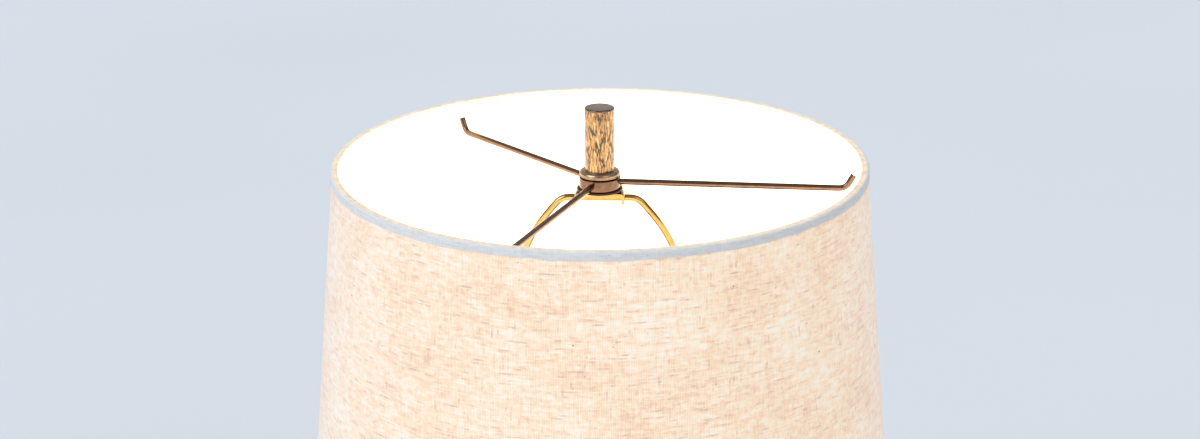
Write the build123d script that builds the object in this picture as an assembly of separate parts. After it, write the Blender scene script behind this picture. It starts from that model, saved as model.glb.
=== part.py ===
"""Table lamp with a spiral-cut tube body, a wire harp and a tapered linen shade.

All sizes are in millimetres. +Z is up, and the origin is the centre of the felt on the
table. The front of the lamp faces -Y, and the cord inlet is at the back, on +Y.

From the table upwards: a felt pad, a cast foot, the spiral body round a plain stem, a
crown plate and a neck are drawn together by one threaded pipe. The pipe also holds the
harp saddle and the lamp socket. The harp lifts off the saddle once its two ferrules are
raised. The shade hangs from the harp's stud by its three-armed spider, under a finial.
"""
from build123d import *
import math
import os

# Threaded pipe that clamps the whole column
PIPE_D = 9.9
PIPE_BORE = 7.0
PIPE_FIT = 0.25
PIPE_BELOW_NUT = 2.0
PIPE_INTO_CAP = 8.0

# Felt and foot
FELT_T = 2.5
FELT_INSET = 2.0
FOOT_D = 170.0
FOOT_T = 20.0
FOOT_BEVEL = 3.0
FOOT_LEDGE = 9.0
FOOT_LEDGE_DROP = 4.0
FOOT_HOLLOW_D = 124.0
FOOT_TOP_T = 8.5

# Cord inlet at the back of the foot
INLET_Z = 8.5
INLET_HOLE_D = 10.2
INLET_FIT = 0.1
BUSHING_BORE = 7.0
BUSHING_FLANGE_D = 13.0
BUSHING_FLANGE_T = 2.0
BUSHING_BARREL_L = 14.0
SPOT_FACE_D = 14.0
SPOT_FACE_CUT = 0.5

# Spiral body, a tube with one long helical slot
SPIRAL_D = 120.0
SPIRAL_WALL = 4.0
SPIRAL_HEIGHT = 325.0
SPIRAL_SLOT = 32.0
SPIRAL_PITCH = 66.0
SPIRAL_TURNS = 3.9
SPIRAL_START = -100.0
SLOT_TOOL_DEPTH = 16.0
STEP_T = 3.0
STEP_FIT = 0.3

# Stem, crown and neck
STEM_D = 16.0
STEM_WALL = 1.5
CROWN_D = 126.0
CROWN_T = 6.0
CROWN_BEVEL = 2.5
NECK_HEIGHT = 28.0
NECK_BASE_D = 34.0
NECK_BASE_H = 4.0
NECK_TOP_D = 19.0
NECK_BEVEL = 2.0

# Hexagon nuts and washers for the pipe
NUT_AF = 14.3
NUT_T = 5.0
WASHER_D = 22.0
WASHER_T = 1.5

# Harp saddle, harp and ferrules; the harp stands in its own upright plane
HARP_TURN = -3.0
HARP_HEIGHT = 254.0
HARP_WIRE_D = 4.7
HARP_FOOT_SPAN = 58.0
HARP_WIDTH = 115.0
HARP_FLAT = 40.0
HARP_TOP_RADIUS = 12.0
HARP_SHOULDER_ANGLE = 50.0
HARP_SIDE_RADIUS = 100.0
HARP_WAIST_DROP = 117.0
HARP_WAIST_RADIUS = 110.0
HARP_KNEE_RISE = 54.0
HARP_KNEE_RADIUS = 70.0
SADDLE_WIDTH = 13.0
SADDLE_T = 1.6
SADDLE_SHOULDER = 6.0
SADDLE_BEND = 2.0
PRONG_WIDTH = 4.2
PRONG_LENGTH = 12.0
FERRULE_D = 8.0
FERRULE_WALL = 1.1
FERRULE_LENGTH = 20.0
TOP_PLATE_LENGTH = 33.0
TOP_PLATE_WIDTH = 15.5
TOP_PLATE_T = 2.4
TOP_TAB_DROP = 5.0
TOP_TAB_T = 1.6
TOP_TAB_HOLE_D = 6.0
STUD_D = 6.35
STUD_COLLAR_D = 14.0
STUD_COLLAR_T = 2.4
STUD_LENGTH = 30.0
STUD_SHOULDER_D = 10.0
STUD_SHOULDER_L = 7.0

# Lamp socket for a medium screw base
SOCKET_D = 35.0
SOCKET_SHEET = 0.8
SOCKET_CAP_NECK_D = 14.5
SOCKET_CAP_NECK_H = 8.0
SOCKET_CUP_H = 11.0
SOCKET_CUP_BEVEL = 1.5
SOCKET_SHELL_H = 45.0
SOCKET_FIT = 0.2
LINER_SHEET = 0.6
INSULATOR_H = 22.0
WIRE_WELL_D = 9.0
WIRE_WELL_DEPTH = 6.0
SCREW_SHELL_H = 21.0
SCREW_SHELL_SHEET = 0.6
CONTACT_D = 7.0
CONTACT_T = 1.5

# Switch in the socket's side
SWITCH_RISE = 16.0
SWITCH_SHAFT_D = 3.2
SWITCH_SHAFT_FIT = 0.06
SWITCH_SHAFT_DEPTH = 7.0
SWITCH_HOLE_D = 7.0
KNOB_D = 11.0
KNOB_L = 13.0
KNOB_STANDOFF = 2.0
KNOB_FLUTES = 6
KNOB_FLUTE_D = 2.6

# Bulb
BULB_D = 60.0
BULB_LENGTH = 108.0
BULB_CAP_D = 26.0
BULB_CAP_H = 24.0
BULB_CAP_FIT = 0.3
BULB_NECK_H = 8.0
BULB_BAND_H = 16.0
BULB_SHOULDER_D = 42.0
BULB_SHOULDER_H = 17.0
BULB_CROWN_D = 16.0
BULB_CROWN_H = 6.5
BULB_TIP_D = 9.0
BULB_TIP_T = 2.0

# Shade
SHADE_TOP_D = 355.6
SHADE_BOTTOM_D = 406.4
SHADE_HEIGHT = 278.2
PANEL_T = 1.6
TRIM_WIDTH = 5.9
TRIM_T = 0.8
RING_WIRE = 3.6

# Spider that carries the shade
SPIDER_ARM_AZIMUTHS = (0.0, 126.0, 245.5)
SPIDER_DROP = 19.2
SPIDER_ARM_D = 3.6
SPIDER_ARM_FALL = 3.7
SPIDER_LEG_ANGLE = 62.0
SPIDER_BEND_R = 5.0
HUB_D = 27.5
HUB_H = 7.7
HUB_ARM_RISE = 3.9
HUB_FIT = 0.25
HUB_SOCKET = 3.0
SPIDER_CLEAR = 0.3

# Finial
FINIAL_WASHER_D = 22.0
FINIAL_WASHER_T = 1.0
FINIAL_FLANGE_D = 27.5
FINIAL_FLANGE_RIM = 2.4
FINIAL_FLANGE_BEVEL = 0.7
FINIAL_FLANGE_T = 4.1
FINIAL_LEDGE = 1.6
FINIAL_SLEEVE_D = 19.8
FINIAL_SLEEVE_WALL = 1.2
FINIAL_SLEEVE_L = 41.3
FINIAL_CAP_T = 1.4
FINIAL_CAP_PLUG = 4.0
FINIAL_PLUG_L = 14.0
THREAD_FIT = 0.08
STUD_FIT = 0.25

# How a round wire is drawn, and how far a cutting tool runs past the face it cuts
WIRE_FLATS = 8
CUT_PAST = 1.0

# Heights that follow from the stack
FOOT_TOP_Z = FELT_T + FOOT_T
FOOT_HOLLOW_Z = FOOT_TOP_Z - FOOT_TOP_T
CROWN_Z = FOOT_TOP_Z + SPIRAL_HEIGHT
NECK_Z = CROWN_Z + CROWN_T
SADDLE_Z = NECK_Z + NECK_HEIGHT
LOCK_NUT_Z = SADDLE_Z + SADDLE_T + WASHER_T
SOCKET_Z = LOCK_NUT_Z + NUT_T
SHELL_Z = SOCKET_Z + SOCKET_CAP_NECK_H + SOCKET_SHEET
SCREW_SHELL_Z = SHELL_Z + INSULATOR_H
BULB_TIP_Z = SCREW_SHELL_Z + CONTACT_T
BULB_CAP_Z = BULB_TIP_Z + BULB_TIP_T
BULB_TOP_Z = BULB_TIP_Z + BULB_LENGTH
HUB_Z = SADDLE_Z + HARP_HEIGHT
HARP_TOP_Z = HUB_Z - STUD_COLLAR_T
SHADE_TOP_Z = HUB_Z + SPIDER_DROP
SHADE_BOTTOM_Z = SHADE_TOP_Z - SHADE_HEIGHT
FINIAL_WASHER_Z = HUB_Z + HUB_H
FINIAL_Z = FINIAL_WASHER_Z + FINIAL_WASHER_T
FINIAL_SLEEVE_Z = FINIAL_Z + FINIAL_FLANGE_T
FINIAL_CAP_Z = FINIAL_SLEEVE_Z + FINIAL_SLEEVE_L

# Slope of the shade's wall and its thickness measured level
SHADE_SLOPE = (SHADE_BOTTOM_D - SHADE_TOP_D) / 2 / SHADE_HEIGHT


def turned(*profile):
    """A solid turned about the Z axis from (radius, height) corners."""
    outline = Polyline(*profile, close=True)
    return revolve(Plane.XZ * make_face(outline), Axis.Z)


def tube(outer_d, inner_d, low, high):
    """A plain round tube, or a disc with a hole, between two heights."""
    blank = Cylinder(outer_d / 2, high - low, align=(Align.CENTER, Align.CENTER, Align.MIN))
    bore = Cylinder(inner_d / 2, high - low, align=(Align.CENTER, Align.CENTER, Align.MIN))
    return Pos(0, 0, low) * (blank - bore)


def disc(diameter, low, high):
    """A plain round disc or rod between two heights."""
    blank = Cylinder(diameter / 2, high - low, align=(Align.CENTER, Align.CENTER, Align.MIN))
    return Pos(0, 0, low) * blank


def radial(diameter, start, stop, height, azimuth):
    """A round bar that points outwards at one height, from one radius to another."""
    bar = Cylinder(diameter / 2, stop - start, align=(Align.CENTER, Align.CENTER, Align.MIN))
    return Rot(0, 0, azimuth) * Pos(start, 0, height) * Rot(0, 90, 0) * bar


def in_harp_plane(shape):
    """Turn a piece drawn over the X axis into the harp's own plane."""
    return Rot(0, 0, HARP_TURN) * shape


def felt_pad():
    """Felt disc glued under the foot."""
    return disc(FOOT_D - 2 * FELT_INSET, 0, FELT_T)


def foot():
    """Cast foot: bevelled rim, hollow underneath, raised step that centres the spiral."""
    rim = FOOT_D / 2
    ledge = FOOT_TOP_Z - FOOT_LEDGE_DROP
    step = SPIRAL_D / 2 - SPIRAL_WALL - STEP_FIT
    body = turned(
        (FOOT_HOLLOW_D / 2, FELT_T),
        (rim, FELT_T),
        (rim, ledge - FOOT_BEVEL),
        (rim - FOOT_BEVEL, ledge),
        (rim - FOOT_LEDGE, ledge),
        (rim - FOOT_LEDGE - FOOT_LEDGE_DROP, FOOT_TOP_Z),
        (step, FOOT_TOP_Z),
        (step, FOOT_TOP_Z + STEP_T),
        (PIPE_D / 2 + PIPE_FIT, FOOT_TOP_Z + STEP_T),
        (PIPE_D / 2 + PIPE_FIT, FOOT_HOLLOW_Z),
        (FOOT_HOLLOW_D / 2, FOOT_HOLLOW_Z),
    )
    body -= radial(INLET_HOLE_D, FOOT_HOLLOW_D / 2 - CUT_PAST, rim + CUT_PAST, INLET_Z, 90)
    return body - radial(SPOT_FACE_D, rim - SPOT_FACE_CUT, rim + CUT_PAST, INLET_Z, 90)


def cord_bushing():
    """Moulded bushing pressed into the foot's back, with a clear bore for the cord."""
    seat = FOOT_D / 2 - SPOT_FACE_CUT
    barrel_d = INLET_HOLE_D - 2 * INLET_FIT
    inner_end = seat - BUSHING_BARREL_L
    outer_end = seat + BUSHING_FLANGE_T
    body = radial(barrel_d, inner_end, seat, INLET_Z, 90)
    body += radial(BUSHING_FLANGE_D, seat, outer_end, INLET_Z, 90)
    return body - radial(BUSHING_BORE, inner_end - CUT_PAST, outer_end + CUT_PAST, INLET_Z, 90)


def spiral_body():
    """Heavy tube with a helical slot that leaves a closed ring at each end."""
    shell = tube(SPIRAL_D, SPIRAL_D - 2 * SPIRAL_WALL, FOOT_TOP_Z, CROWN_Z)
    mid_radius = (SPIRAL_D - SPIRAL_WALL) / 2
    rise = SPIRAL_PITCH * SPIRAL_TURNS
    first = FOOT_TOP_Z + (SPIRAL_HEIGHT - rise) / 2
    path = Edge.make_helix(SPIRAL_PITCH, rise, mid_radius, center=(0, 0, first))
    cutter = Plane(origin=path @ 0, z_dir=path % 0, x_dir=(1, 0, 0))
    slot = sweep(cutter * Rectangle(SLOT_TOOL_DEPTH, SPIRAL_SLOT), path=path, is_frenet=True, clean=False)
    return Rot(0, 0, SPIRAL_START) * (shell - slot)


def stem_tube():
    """Plain tube inside the spiral that takes the pipe's clamping load."""
    low = FOOT_TOP_Z + STEP_T
    return tube(STEM_D, STEM_D - 2 * STEM_WALL, low, CROWN_Z - STEP_T)


def threaded_pipe():
    """Hollow pipe from under the foot to inside the socket cap."""
    low = FOOT_HOLLOW_Z - WASHER_T - NUT_T - PIPE_BELOW_NUT
    return tube(PIPE_D, PIPE_BORE, low, SOCKET_Z + PIPE_INTO_CAP)


def hex_nut(low):
    """One hexagon nut on the pipe."""
    prism = extrude(RegularPolygon(NUT_AF / 2, 6, major_radius=False), NUT_T)
    return Pos(0, 0, low) * prism - disc(PIPE_D + 2 * THREAD_FIT, low - CUT_PAST, low + NUT_T + CUT_PAST)


def pipe_nuts():
    """The nut under the foot and the lock nut over the saddle."""
    return [hex_nut(FOOT_HOLLOW_Z - WASHER_T - NUT_T), hex_nut(LOCK_NUT_Z)]


def pipe_washers():
    """The washer under the foot and the one over the saddle."""
    lows = (FOOT_HOLLOW_Z - WASHER_T, SADDLE_Z + SADDLE_T)
    return [tube(WASHER_D, PIPE_D + 2 * PIPE_FIT, low, low + WASHER_T) for low in lows]


def crown_plate():
    """Bevelled disc on top of the spiral, stepped to centre it."""
    rim = CROWN_D / 2
    step = SPIRAL_D / 2 - SPIRAL_WALL - STEP_FIT
    bore = PIPE_D / 2 + PIPE_FIT
    return turned(
        (bore, CROWN_Z - STEP_T),
        (step, CROWN_Z - STEP_T),
        (step, CROWN_Z),
        (rim, CROWN_Z),
        (rim, NECK_Z - CROWN_BEVEL),
        (rim - CROWN_BEVEL, NECK_Z),
        (bore, NECK_Z),
    )


def neck_collar():
    """Turned neck that narrows from the crown to the harp saddle."""
    bore = PIPE_D / 2 + PIPE_FIT
    return turned(
        (bore, NECK_Z),
        (NECK_BASE_D / 2, NECK_Z),
        (NECK_BASE_D / 2, NECK_Z + NECK_BASE_H),
        (NECK_TOP_D / 2 + NECK_BEVEL, NECK_Z + NECK_BASE_H),
        (NECK_TOP_D / 2, NECK_Z + NECK_BASE_H + NECK_BEVEL),
        (NECK_TOP_D / 2, SADDLE_Z),
        (bore, SADDLE_Z),
    )


def harp_saddle():
    """Brass strip across the pipe with its ends turned up into prongs for the harp."""
    span = HARP_FOOT_SPAN / 2
    half = SADDLE_T / 2
    shoulder = SADDLE_Z + SADDLE_T + SADDLE_SHOULDER
    line = FilletPolyline(
        (-span, 0, shoulder),
        (-span, 0, SADDLE_Z + half),
        (span, 0, SADDLE_Z + half),
        (span, 0, shoulder),
        radius=SADDLE_BEND,
    )
    section = Plane(origin=line @ 0, x_dir=(1, 0, 0), z_dir=line % 0)
    strip = sweep(section * Rectangle(SADDLE_T, SADDLE_WIDTH), path=line, clean=False)
    strip -= disc(PIPE_D + 2 * PIPE_FIT, SADDLE_Z - CUT_PAST, SADDLE_Z + SADDLE_T + CUT_PAST)
    for end in (-span, span):
        prong = Box(SADDLE_T, PRONG_WIDTH, PRONG_LENGTH, align=(Align.CENTER, Align.CENTER, Align.MIN))
        strip += Pos(end, 0, shoulder) * prong
    return in_harp_plane(strip)


def wire_along(line, diameter):
    """Wire bent along a line, drawn with flats across its diameter, one of them on top."""
    flats = RegularPolygon(diameter / 2, WIRE_FLATS, major_radius=False, rotation=180 / WIRE_FLATS)
    return sweep(Plane(origin=line @ 0, z_dir=line % 0) * flats, path=line, clean=False)


def harp_line():
    """Centre line of the harp, from the left foot over the top to the right foot."""
    foot_z = SADDLE_Z + SADDLE_T + SADDLE_SHOULDER + PRONG_LENGTH
    top_z = HARP_TOP_Z - TOP_PLATE_T - HARP_WIRE_D / 2
    foot_x = HARP_FOOT_SPAN / 2
    side_x = HARP_WIDTH / 2
    half_turn = math.radians(HARP_SHOULDER_ANGLE) / 2
    corner_x = HARP_FLAT / 2 + HARP_TOP_RADIUS * math.tan(half_turn)
    shoulder_z = top_z - (side_x - corner_x) * math.tan(2 * half_turn)
    waist_z = top_z - HARP_WAIST_DROP
    knee_z = SADDLE_Z + HARP_KNEE_RISE
    right = [(corner_x, top_z), (side_x, shoulder_z), (side_x, waist_z), (foot_x, knee_z), (foot_x, foot_z)]
    left = [(-x, z) for x, z in reversed(right)]
    bends = [HARP_KNEE_RADIUS, HARP_WAIST_RADIUS, HARP_SIDE_RADIUS, HARP_TOP_RADIUS]
    return FilletPolyline(*[(x, 0, z) for x, z in left + right], radius=bends + bends[::-1])


def harp_wire():
    """Bent wire loop round the bulb."""
    return in_harp_plane(wire_along(harp_line(), HARP_WIRE_D))


def ferrule(side):
    """Sleeve that locks one harp foot to its saddle prong; it slides up to free it."""
    low = SADDLE_Z + SADDLE_T + SADDLE_SHOULDER
    sleeve = tube(FERRULE_D, FERRULE_D - 2 * FERRULE_WALL, low, low + FERRULE_LENGTH)
    return in_harp_plane(Pos(side * HARP_FOOT_SPAN / 2, 0, 0) * sleeve)


def harp_top_plate():
    """Plate over the top of the harp, its ends turned down with holes for the wire."""
    high = HARP_TOP_Z
    low = high - TOP_PLATE_T
    end = TOP_PLATE_LENGTH / 2
    plate = Pos(0, 0, (high + low) / 2) * Box(TOP_PLATE_LENGTH, TOP_PLATE_WIDTH, TOP_PLATE_T)
    tab_x = end - TOP_TAB_T / 2
    for side in (-tab_x, tab_x):
        tab = Box(TOP_TAB_T, TOP_PLATE_WIDTH, TOP_TAB_DROP, align=(Align.CENTER, Align.CENTER, Align.MAX))
        plate += Pos(side, 0, low) * tab
    through = (2 * end + CUT_PAST, TOP_TAB_HOLE_D, TOP_TAB_DROP + CUT_PAST)
    notch = Box(*through, align=(Align.CENTER, Align.CENTER, Align.MAX))
    plate -= Pos(0, 0, low) * notch
    plate -= disc(STUD_D, low - CUT_PAST, high + CUT_PAST)
    return in_harp_plane(plate)


def harp_stud():
    """Stud riveted through the top plate, with a collar under the hub and a shoulder that centres it."""
    stud = disc(STUD_D, HARP_TOP_Z - TOP_PLATE_T, HUB_Z + STUD_LENGTH)
    stud += disc(STUD_COLLAR_D, HARP_TOP_Z, HUB_Z)
    return stud + disc(STUD_SHOULDER_D, HUB_Z, HUB_Z + STUD_SHOULDER_L)


def socket_cap():
    """Brass cap with a cup that holds the socket's shell; its neck screws on the pipe."""
    neck = SOCKET_CAP_NECK_D / 2
    cup = SOCKET_D / 2 + SOCKET_FIT + SOCKET_SHEET
    bore = PIPE_D / 2 + THREAD_FIT
    floor = SHELL_Z - SOCKET_SHEET
    return turned(
        (bore, SOCKET_Z),
        (neck, SOCKET_Z),
        (neck, floor),
        (cup - SOCKET_CUP_BEVEL, floor),
        (cup, floor + SOCKET_CUP_BEVEL),
        (cup, SHELL_Z + SOCKET_CUP_H),
        (cup - SOCKET_SHEET, SHELL_Z + SOCKET_CUP_H),
        (cup - SOCKET_SHEET, SHELL_Z),
        (bore, SHELL_Z),
    )


def switch_azimuth():
    """The switch faces forward, square to the harp."""
    return HARP_TURN - 90.0


def switch_height():
    """Height of the switch shaft."""
    return SHELL_Z + SWITCH_RISE


def switch_hole():
    """The bar that cuts the switch's hole through the shell and its liner."""
    wall = SOCKET_D / 2
    return radial(SWITCH_HOLE_D, wall - SWITCH_HOLE_D / 2, wall + CUT_PAST, switch_height(), switch_azimuth())


def socket_shell():
    """Brass outer shell, with a round hole for the switch shaft."""
    shell = tube(SOCKET_D, SOCKET_D - 2 * SOCKET_SHEET, SHELL_Z, SHELL_Z + SOCKET_SHELL_H)
    return shell - switch_hole()


def socket_liner():
    """Fibre sleeve that insulates the shell from the live parts."""
    outer = SOCKET_D - 2 * SOCKET_SHEET - 2 * SOCKET_FIT
    liner = tube(outer, outer - 2 * LINER_SHEET, SHELL_Z, SHELL_Z + SOCKET_SHELL_H - SOCKET_SHEET)
    return liner - switch_hole()


def insulator_diameter():
    """The insulator fills the fibre sleeve, less a small fit."""
    return SOCKET_D - 2 * (SOCKET_SHEET + LINER_SHEET + 2 * SOCKET_FIT)


def insulator():
    """Moulded block with the switch, which carries the screw shell and the contact."""
    block = disc(insulator_diameter(), SHELL_Z, SCREW_SHELL_Z)
    block -= disc(WIRE_WELL_D, SHELL_Z - CUT_PAST, SHELL_Z + WIRE_WELL_DEPTH)
    reach = insulator_diameter() / 2
    hole_d = SWITCH_SHAFT_D + 2 * SWITCH_SHAFT_FIT
    hole_end = reach - SWITCH_SHAFT_DEPTH
    return block - radial(hole_d, hole_end, reach + CUT_PAST, switch_height(), switch_azimuth())


def screw_shell_bore():
    """Bore of the screw shell, clear of the bulb's cap."""
    return BULB_CAP_D + 2 * BULB_CAP_FIT


def screw_shell():
    """Thin brass shell that takes the bulb's cap."""
    outer = screw_shell_bore() + 2 * SCREW_SHELL_SHEET
    return tube(outer, screw_shell_bore(), SCREW_SHELL_Z, SCREW_SHELL_Z + SCREW_SHELL_H)


def centre_contact():
    """Brass contact under the bulb's tip."""
    return disc(CONTACT_D, SCREW_SHELL_Z, SCREW_SHELL_Z + CONTACT_T)


def knob_start():
    """Radius at which the switch knob begins, just off the shell."""
    return SOCKET_D / 2 + KNOB_STANDOFF


def switch_shaft():
    """Round shaft from the switch out into the knob."""
    start = insulator_diameter() / 2 - SWITCH_SHAFT_DEPTH
    return radial(SWITCH_SHAFT_D, start, knob_start() + KNOB_L / 2, switch_height(), switch_azimuth())


def switch_knob():
    """Fluted knob pushed on the shaft."""
    blank = Circle(KNOB_D / 2)
    for index in range(KNOB_FLUTES):
        blank -= Rot(0, 0, index * 360 / KNOB_FLUTES) * Pos(KNOB_D / 2, 0) * Circle(KNOB_FLUTE_D / 2)
    knob = extrude(blank, KNOB_L) - disc(SWITCH_SHAFT_D, -CUT_PAST, KNOB_L / 2)
    return Rot(0, 0, switch_azimuth()) * Pos(knob_start(), 0, switch_height()) * Rot(0, 90, 0) * knob


def bulb_cap():
    """Screw cap of the bulb with its centre tip."""
    tip = disc(BULB_TIP_D, BULB_TIP_Z, BULB_CAP_Z)
    return tip + disc(BULB_CAP_D, BULB_CAP_Z, BULB_CAP_Z + BULB_CAP_H)


def bulb_glass():
    """Pear-shaped frosted glass, standing on the cap, drawn in straight bands."""
    low = BULB_CAP_Z + BULB_CAP_H
    neck = BULB_CAP_D / 2
    ball = BULB_D / 2
    shoulder_z = BULB_TOP_Z - BULB_CROWN_H
    band_top = shoulder_z - BULB_SHOULDER_H
    return turned(
        (0, low),
        (neck, low),
        (neck, low + BULB_NECK_H),
        (ball, band_top - BULB_BAND_H),
        (ball, band_top),
        (BULB_SHOULDER_D / 2, shoulder_z),
        (BULB_CROWN_D / 2, BULB_TOP_Z),
        (0, BULB_TOP_Z),
    )


def shade_radius(height, inset):
    """Radius of the shade's wall at a height, measured in from its outer face."""
    bottom = SHADE_BOTTOM_D / 2 - (height - SHADE_BOTTOM_Z) * SHADE_SLOPE
    return bottom - inset * math.hypot(1, SHADE_SLOPE)


def shade_band(inset, thickness, low, high):
    """A tapered band that follows the shade's wall."""
    return turned(
        (shade_radius(low, inset + thickness), low),
        (shade_radius(low, inset), low),
        (shade_radius(high, inset), high),
        (shade_radius(high, inset + thickness), high),
    )


def shade_panel():
    """Linen laminated to stiff white lining, rolled and lapped into a tapered drum."""
    return shade_band(TRIM_T, PANEL_T, SHADE_BOTTOM_Z + TRIM_T, SHADE_TOP_Z - TRIM_T)


def ring_inset():
    """Inset of the wire rings, just inside the panel."""
    return TRIM_T + PANEL_T


def wire_ring(low):
    """Square wire ring that keeps the shade round."""
    inner = ring_inset() + RING_WIRE
    return shade_band(ring_inset(), inner - ring_inset(), low, low + RING_WIRE)


def trim(edge, inward):
    """Tape folded over one edge of the shade and its ring."""
    total = ring_inset() + RING_WIRE + TRIM_T
    fold = edge + inward * TRIM_T
    hem = edge + inward * TRIM_WIDTH
    inner_hem = edge + inward * (TRIM_T + RING_WIRE)
    return turned(
        (shade_radius(edge, 0), edge),
        (shade_radius(hem, 0), hem),
        (shade_radius(hem, TRIM_T), hem),
        (shade_radius(fold, TRIM_T), fold),
        (shade_radius(fold, total - TRIM_T), fold),
        (shade_radius(inner_hem, total - TRIM_T), inner_hem),
        (shade_radius(inner_hem, total), inner_hem),
        (shade_radius(edge, total), edge),
    )


def spider_arm(azimuth):
    """One wire arm from inside the hub out and up to the underside of the top ring."""
    start = (HUB_D / 2 - HUB_SOCKET + HUB_FIT, HUB_Z + HUB_ARM_RISE)
    ring_z = SHADE_TOP_Z - TRIM_T - RING_WIRE
    rise = math.radians(SPIDER_LEG_ANGLE)
    end_r = shade_radius(ring_z, ring_inset()) - SPIDER_ARM_D / 2 / math.sin(rise) - SPIDER_CLEAR
    low_z = start[1] - SPIDER_ARM_FALL
    knee_r = end_r - (ring_z - low_z) / math.tan(rise)
    past = SPIDER_ARM_D
    tip = (end_r + past / math.tan(rise), 0, ring_z + past)
    block = 4 * (past + CUT_PAST)
    line = FilletPolyline((start[0], 0, start[1]), (knee_r, 0, low_z), tip, radius=SPIDER_BEND_R)
    arm = wire_along(line, SPIDER_ARM_D)
    above = Pos(end_r, 0, ring_z) * Box(block, block, block, align=(Align.CENTER, Align.CENTER, Align.MIN))
    return Rot(0, 0, azimuth) * (arm - above)


def spider_hub():
    """Round hub over the harp's stud, drilled for the three arms."""
    hub = tube(HUB_D, STUD_SHOULDER_D + 2 * HUB_FIT, HUB_Z, HUB_Z + HUB_H)
    hole_d = SPIDER_ARM_D + 2 * HUB_FIT
    for azimuth in SPIDER_ARM_AZIMUTHS:
        hub -= radial(hole_d, HUB_D / 2 - HUB_SOCKET, HUB_D, HUB_Z + HUB_ARM_RISE, azimuth)
    return hub


def finial_washer():
    """Thin washer between the hub and the finial."""
    return tube(FINIAL_WASHER_D, STUD_D + 2 * STUD_FIT, FINIAL_WASHER_Z, FINIAL_Z)


def finial_flange():
    """Turned flange with a tapped plug that fills the foot of the sleeve."""
    plug = FINIAL_SLEEVE_D / 2 - FINIAL_SLEEVE_WALL
    rim = FINIAL_FLANGE_D / 2
    tap = STUD_D / 2 + THREAD_FIT
    ledge = FINIAL_SLEEVE_D / 2 + FINIAL_LEDGE
    return turned(
        (tap, FINIAL_Z),
        (rim, FINIAL_Z),
        (rim, FINIAL_Z + FINIAL_FLANGE_RIM - FINIAL_FLANGE_BEVEL),
        (rim - FINIAL_FLANGE_BEVEL, FINIAL_Z + FINIAL_FLANGE_RIM),
        (ledge, FINIAL_Z + FINIAL_FLANGE_RIM),
        (ledge, FINIAL_SLEEVE_Z),
        (plug, FINIAL_SLEEVE_Z),
        (plug, FINIAL_SLEEVE_Z + FINIAL_PLUG_L),
        (tap, FINIAL_SLEEVE_Z + FINIAL_PLUG_L),
    )


def finial_sleeve():
    """Textured brass sleeve that stands on the flange."""
    return tube(FINIAL_SLEEVE_D, FINIAL_SLEEVE_D - 2 * FINIAL_SLEEVE_WALL, FINIAL_SLEEVE_Z, FINIAL_CAP_Z)


def finial_cap():
    """Dark disc with a plug that closes the sleeve."""
    plug = disc(FINIAL_SLEEVE_D - 2 * FINIAL_SLEEVE_WALL, FINIAL_CAP_Z - FINIAL_CAP_PLUG, FINIAL_CAP_Z)
    return plug + disc(FINIAL_SLEEVE_D, FINIAL_CAP_Z, FINIAL_CAP_Z + FINIAL_CAP_T)


PIECES = {
    "felt_pad": felt_pad,
    "foot": foot,
    "cord_bushing": cord_bushing,
    "spiral_body": spiral_body,
    "stem_tube": stem_tube,
    "threaded_pipe": threaded_pipe,
    "pipe_nuts": pipe_nuts,
    "pipe_washers": pipe_washers,
    "crown_plate": crown_plate,
    "neck_collar": neck_collar,
    "harp_saddle": harp_saddle,
    "harp_wire": harp_wire,
    "harp_top_plate": harp_top_plate,
    "harp_stud": harp_stud,
    "ferrule_left": lambda: ferrule(-1),
    "ferrule_right": lambda: ferrule(1),
    "socket_cap": socket_cap,
    "socket_shell": socket_shell,
    "socket_liner": socket_liner,
    "insulator": insulator,
    "screw_shell": screw_shell,
    "centre_contact": centre_contact,
    "switch_shaft": switch_shaft,
    "switch_knob": switch_knob,
    "bulb_cap": bulb_cap,
    "bulb_glass": bulb_glass,
    "shade_panel": shade_panel,
    "top_ring": lambda: wire_ring(SHADE_TOP_Z - TRIM_T - RING_WIRE),
    "bottom_ring": lambda: wire_ring(SHADE_BOTTOM_Z + TRIM_T),
    "top_trim": lambda: trim(SHADE_TOP_Z, -1),
    "bottom_trim": lambda: trim(SHADE_BOTTOM_Z, 1),
    "spider_hub": spider_hub,
    "spider_arms": lambda: [spider_arm(azimuth) for azimuth in SPIDER_ARM_AZIMUTHS],
    "finial_washer": finial_washer,
    "finial_flange": finial_flange,
    "finial_sleeve": finial_sleeve,
    "finial_cap": finial_cap,
}

os.makedirs("parts", exist_ok=True)
for name, make in PIECES.items():
    piece = make()
    solids = piece if isinstance(piece, list) else [piece]
    shape = Compound([solid for item in solids for solid in item.solids()])
    export_step(shape, f"parts/{name}.step")
print("written:", len(PIECES), "pieces, top at", round(FINIAL_CAP_Z + FINIAL_CAP_T, 1))
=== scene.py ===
import bmesh
import bpy
import math
from mathutils import Matrix, Vector


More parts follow.
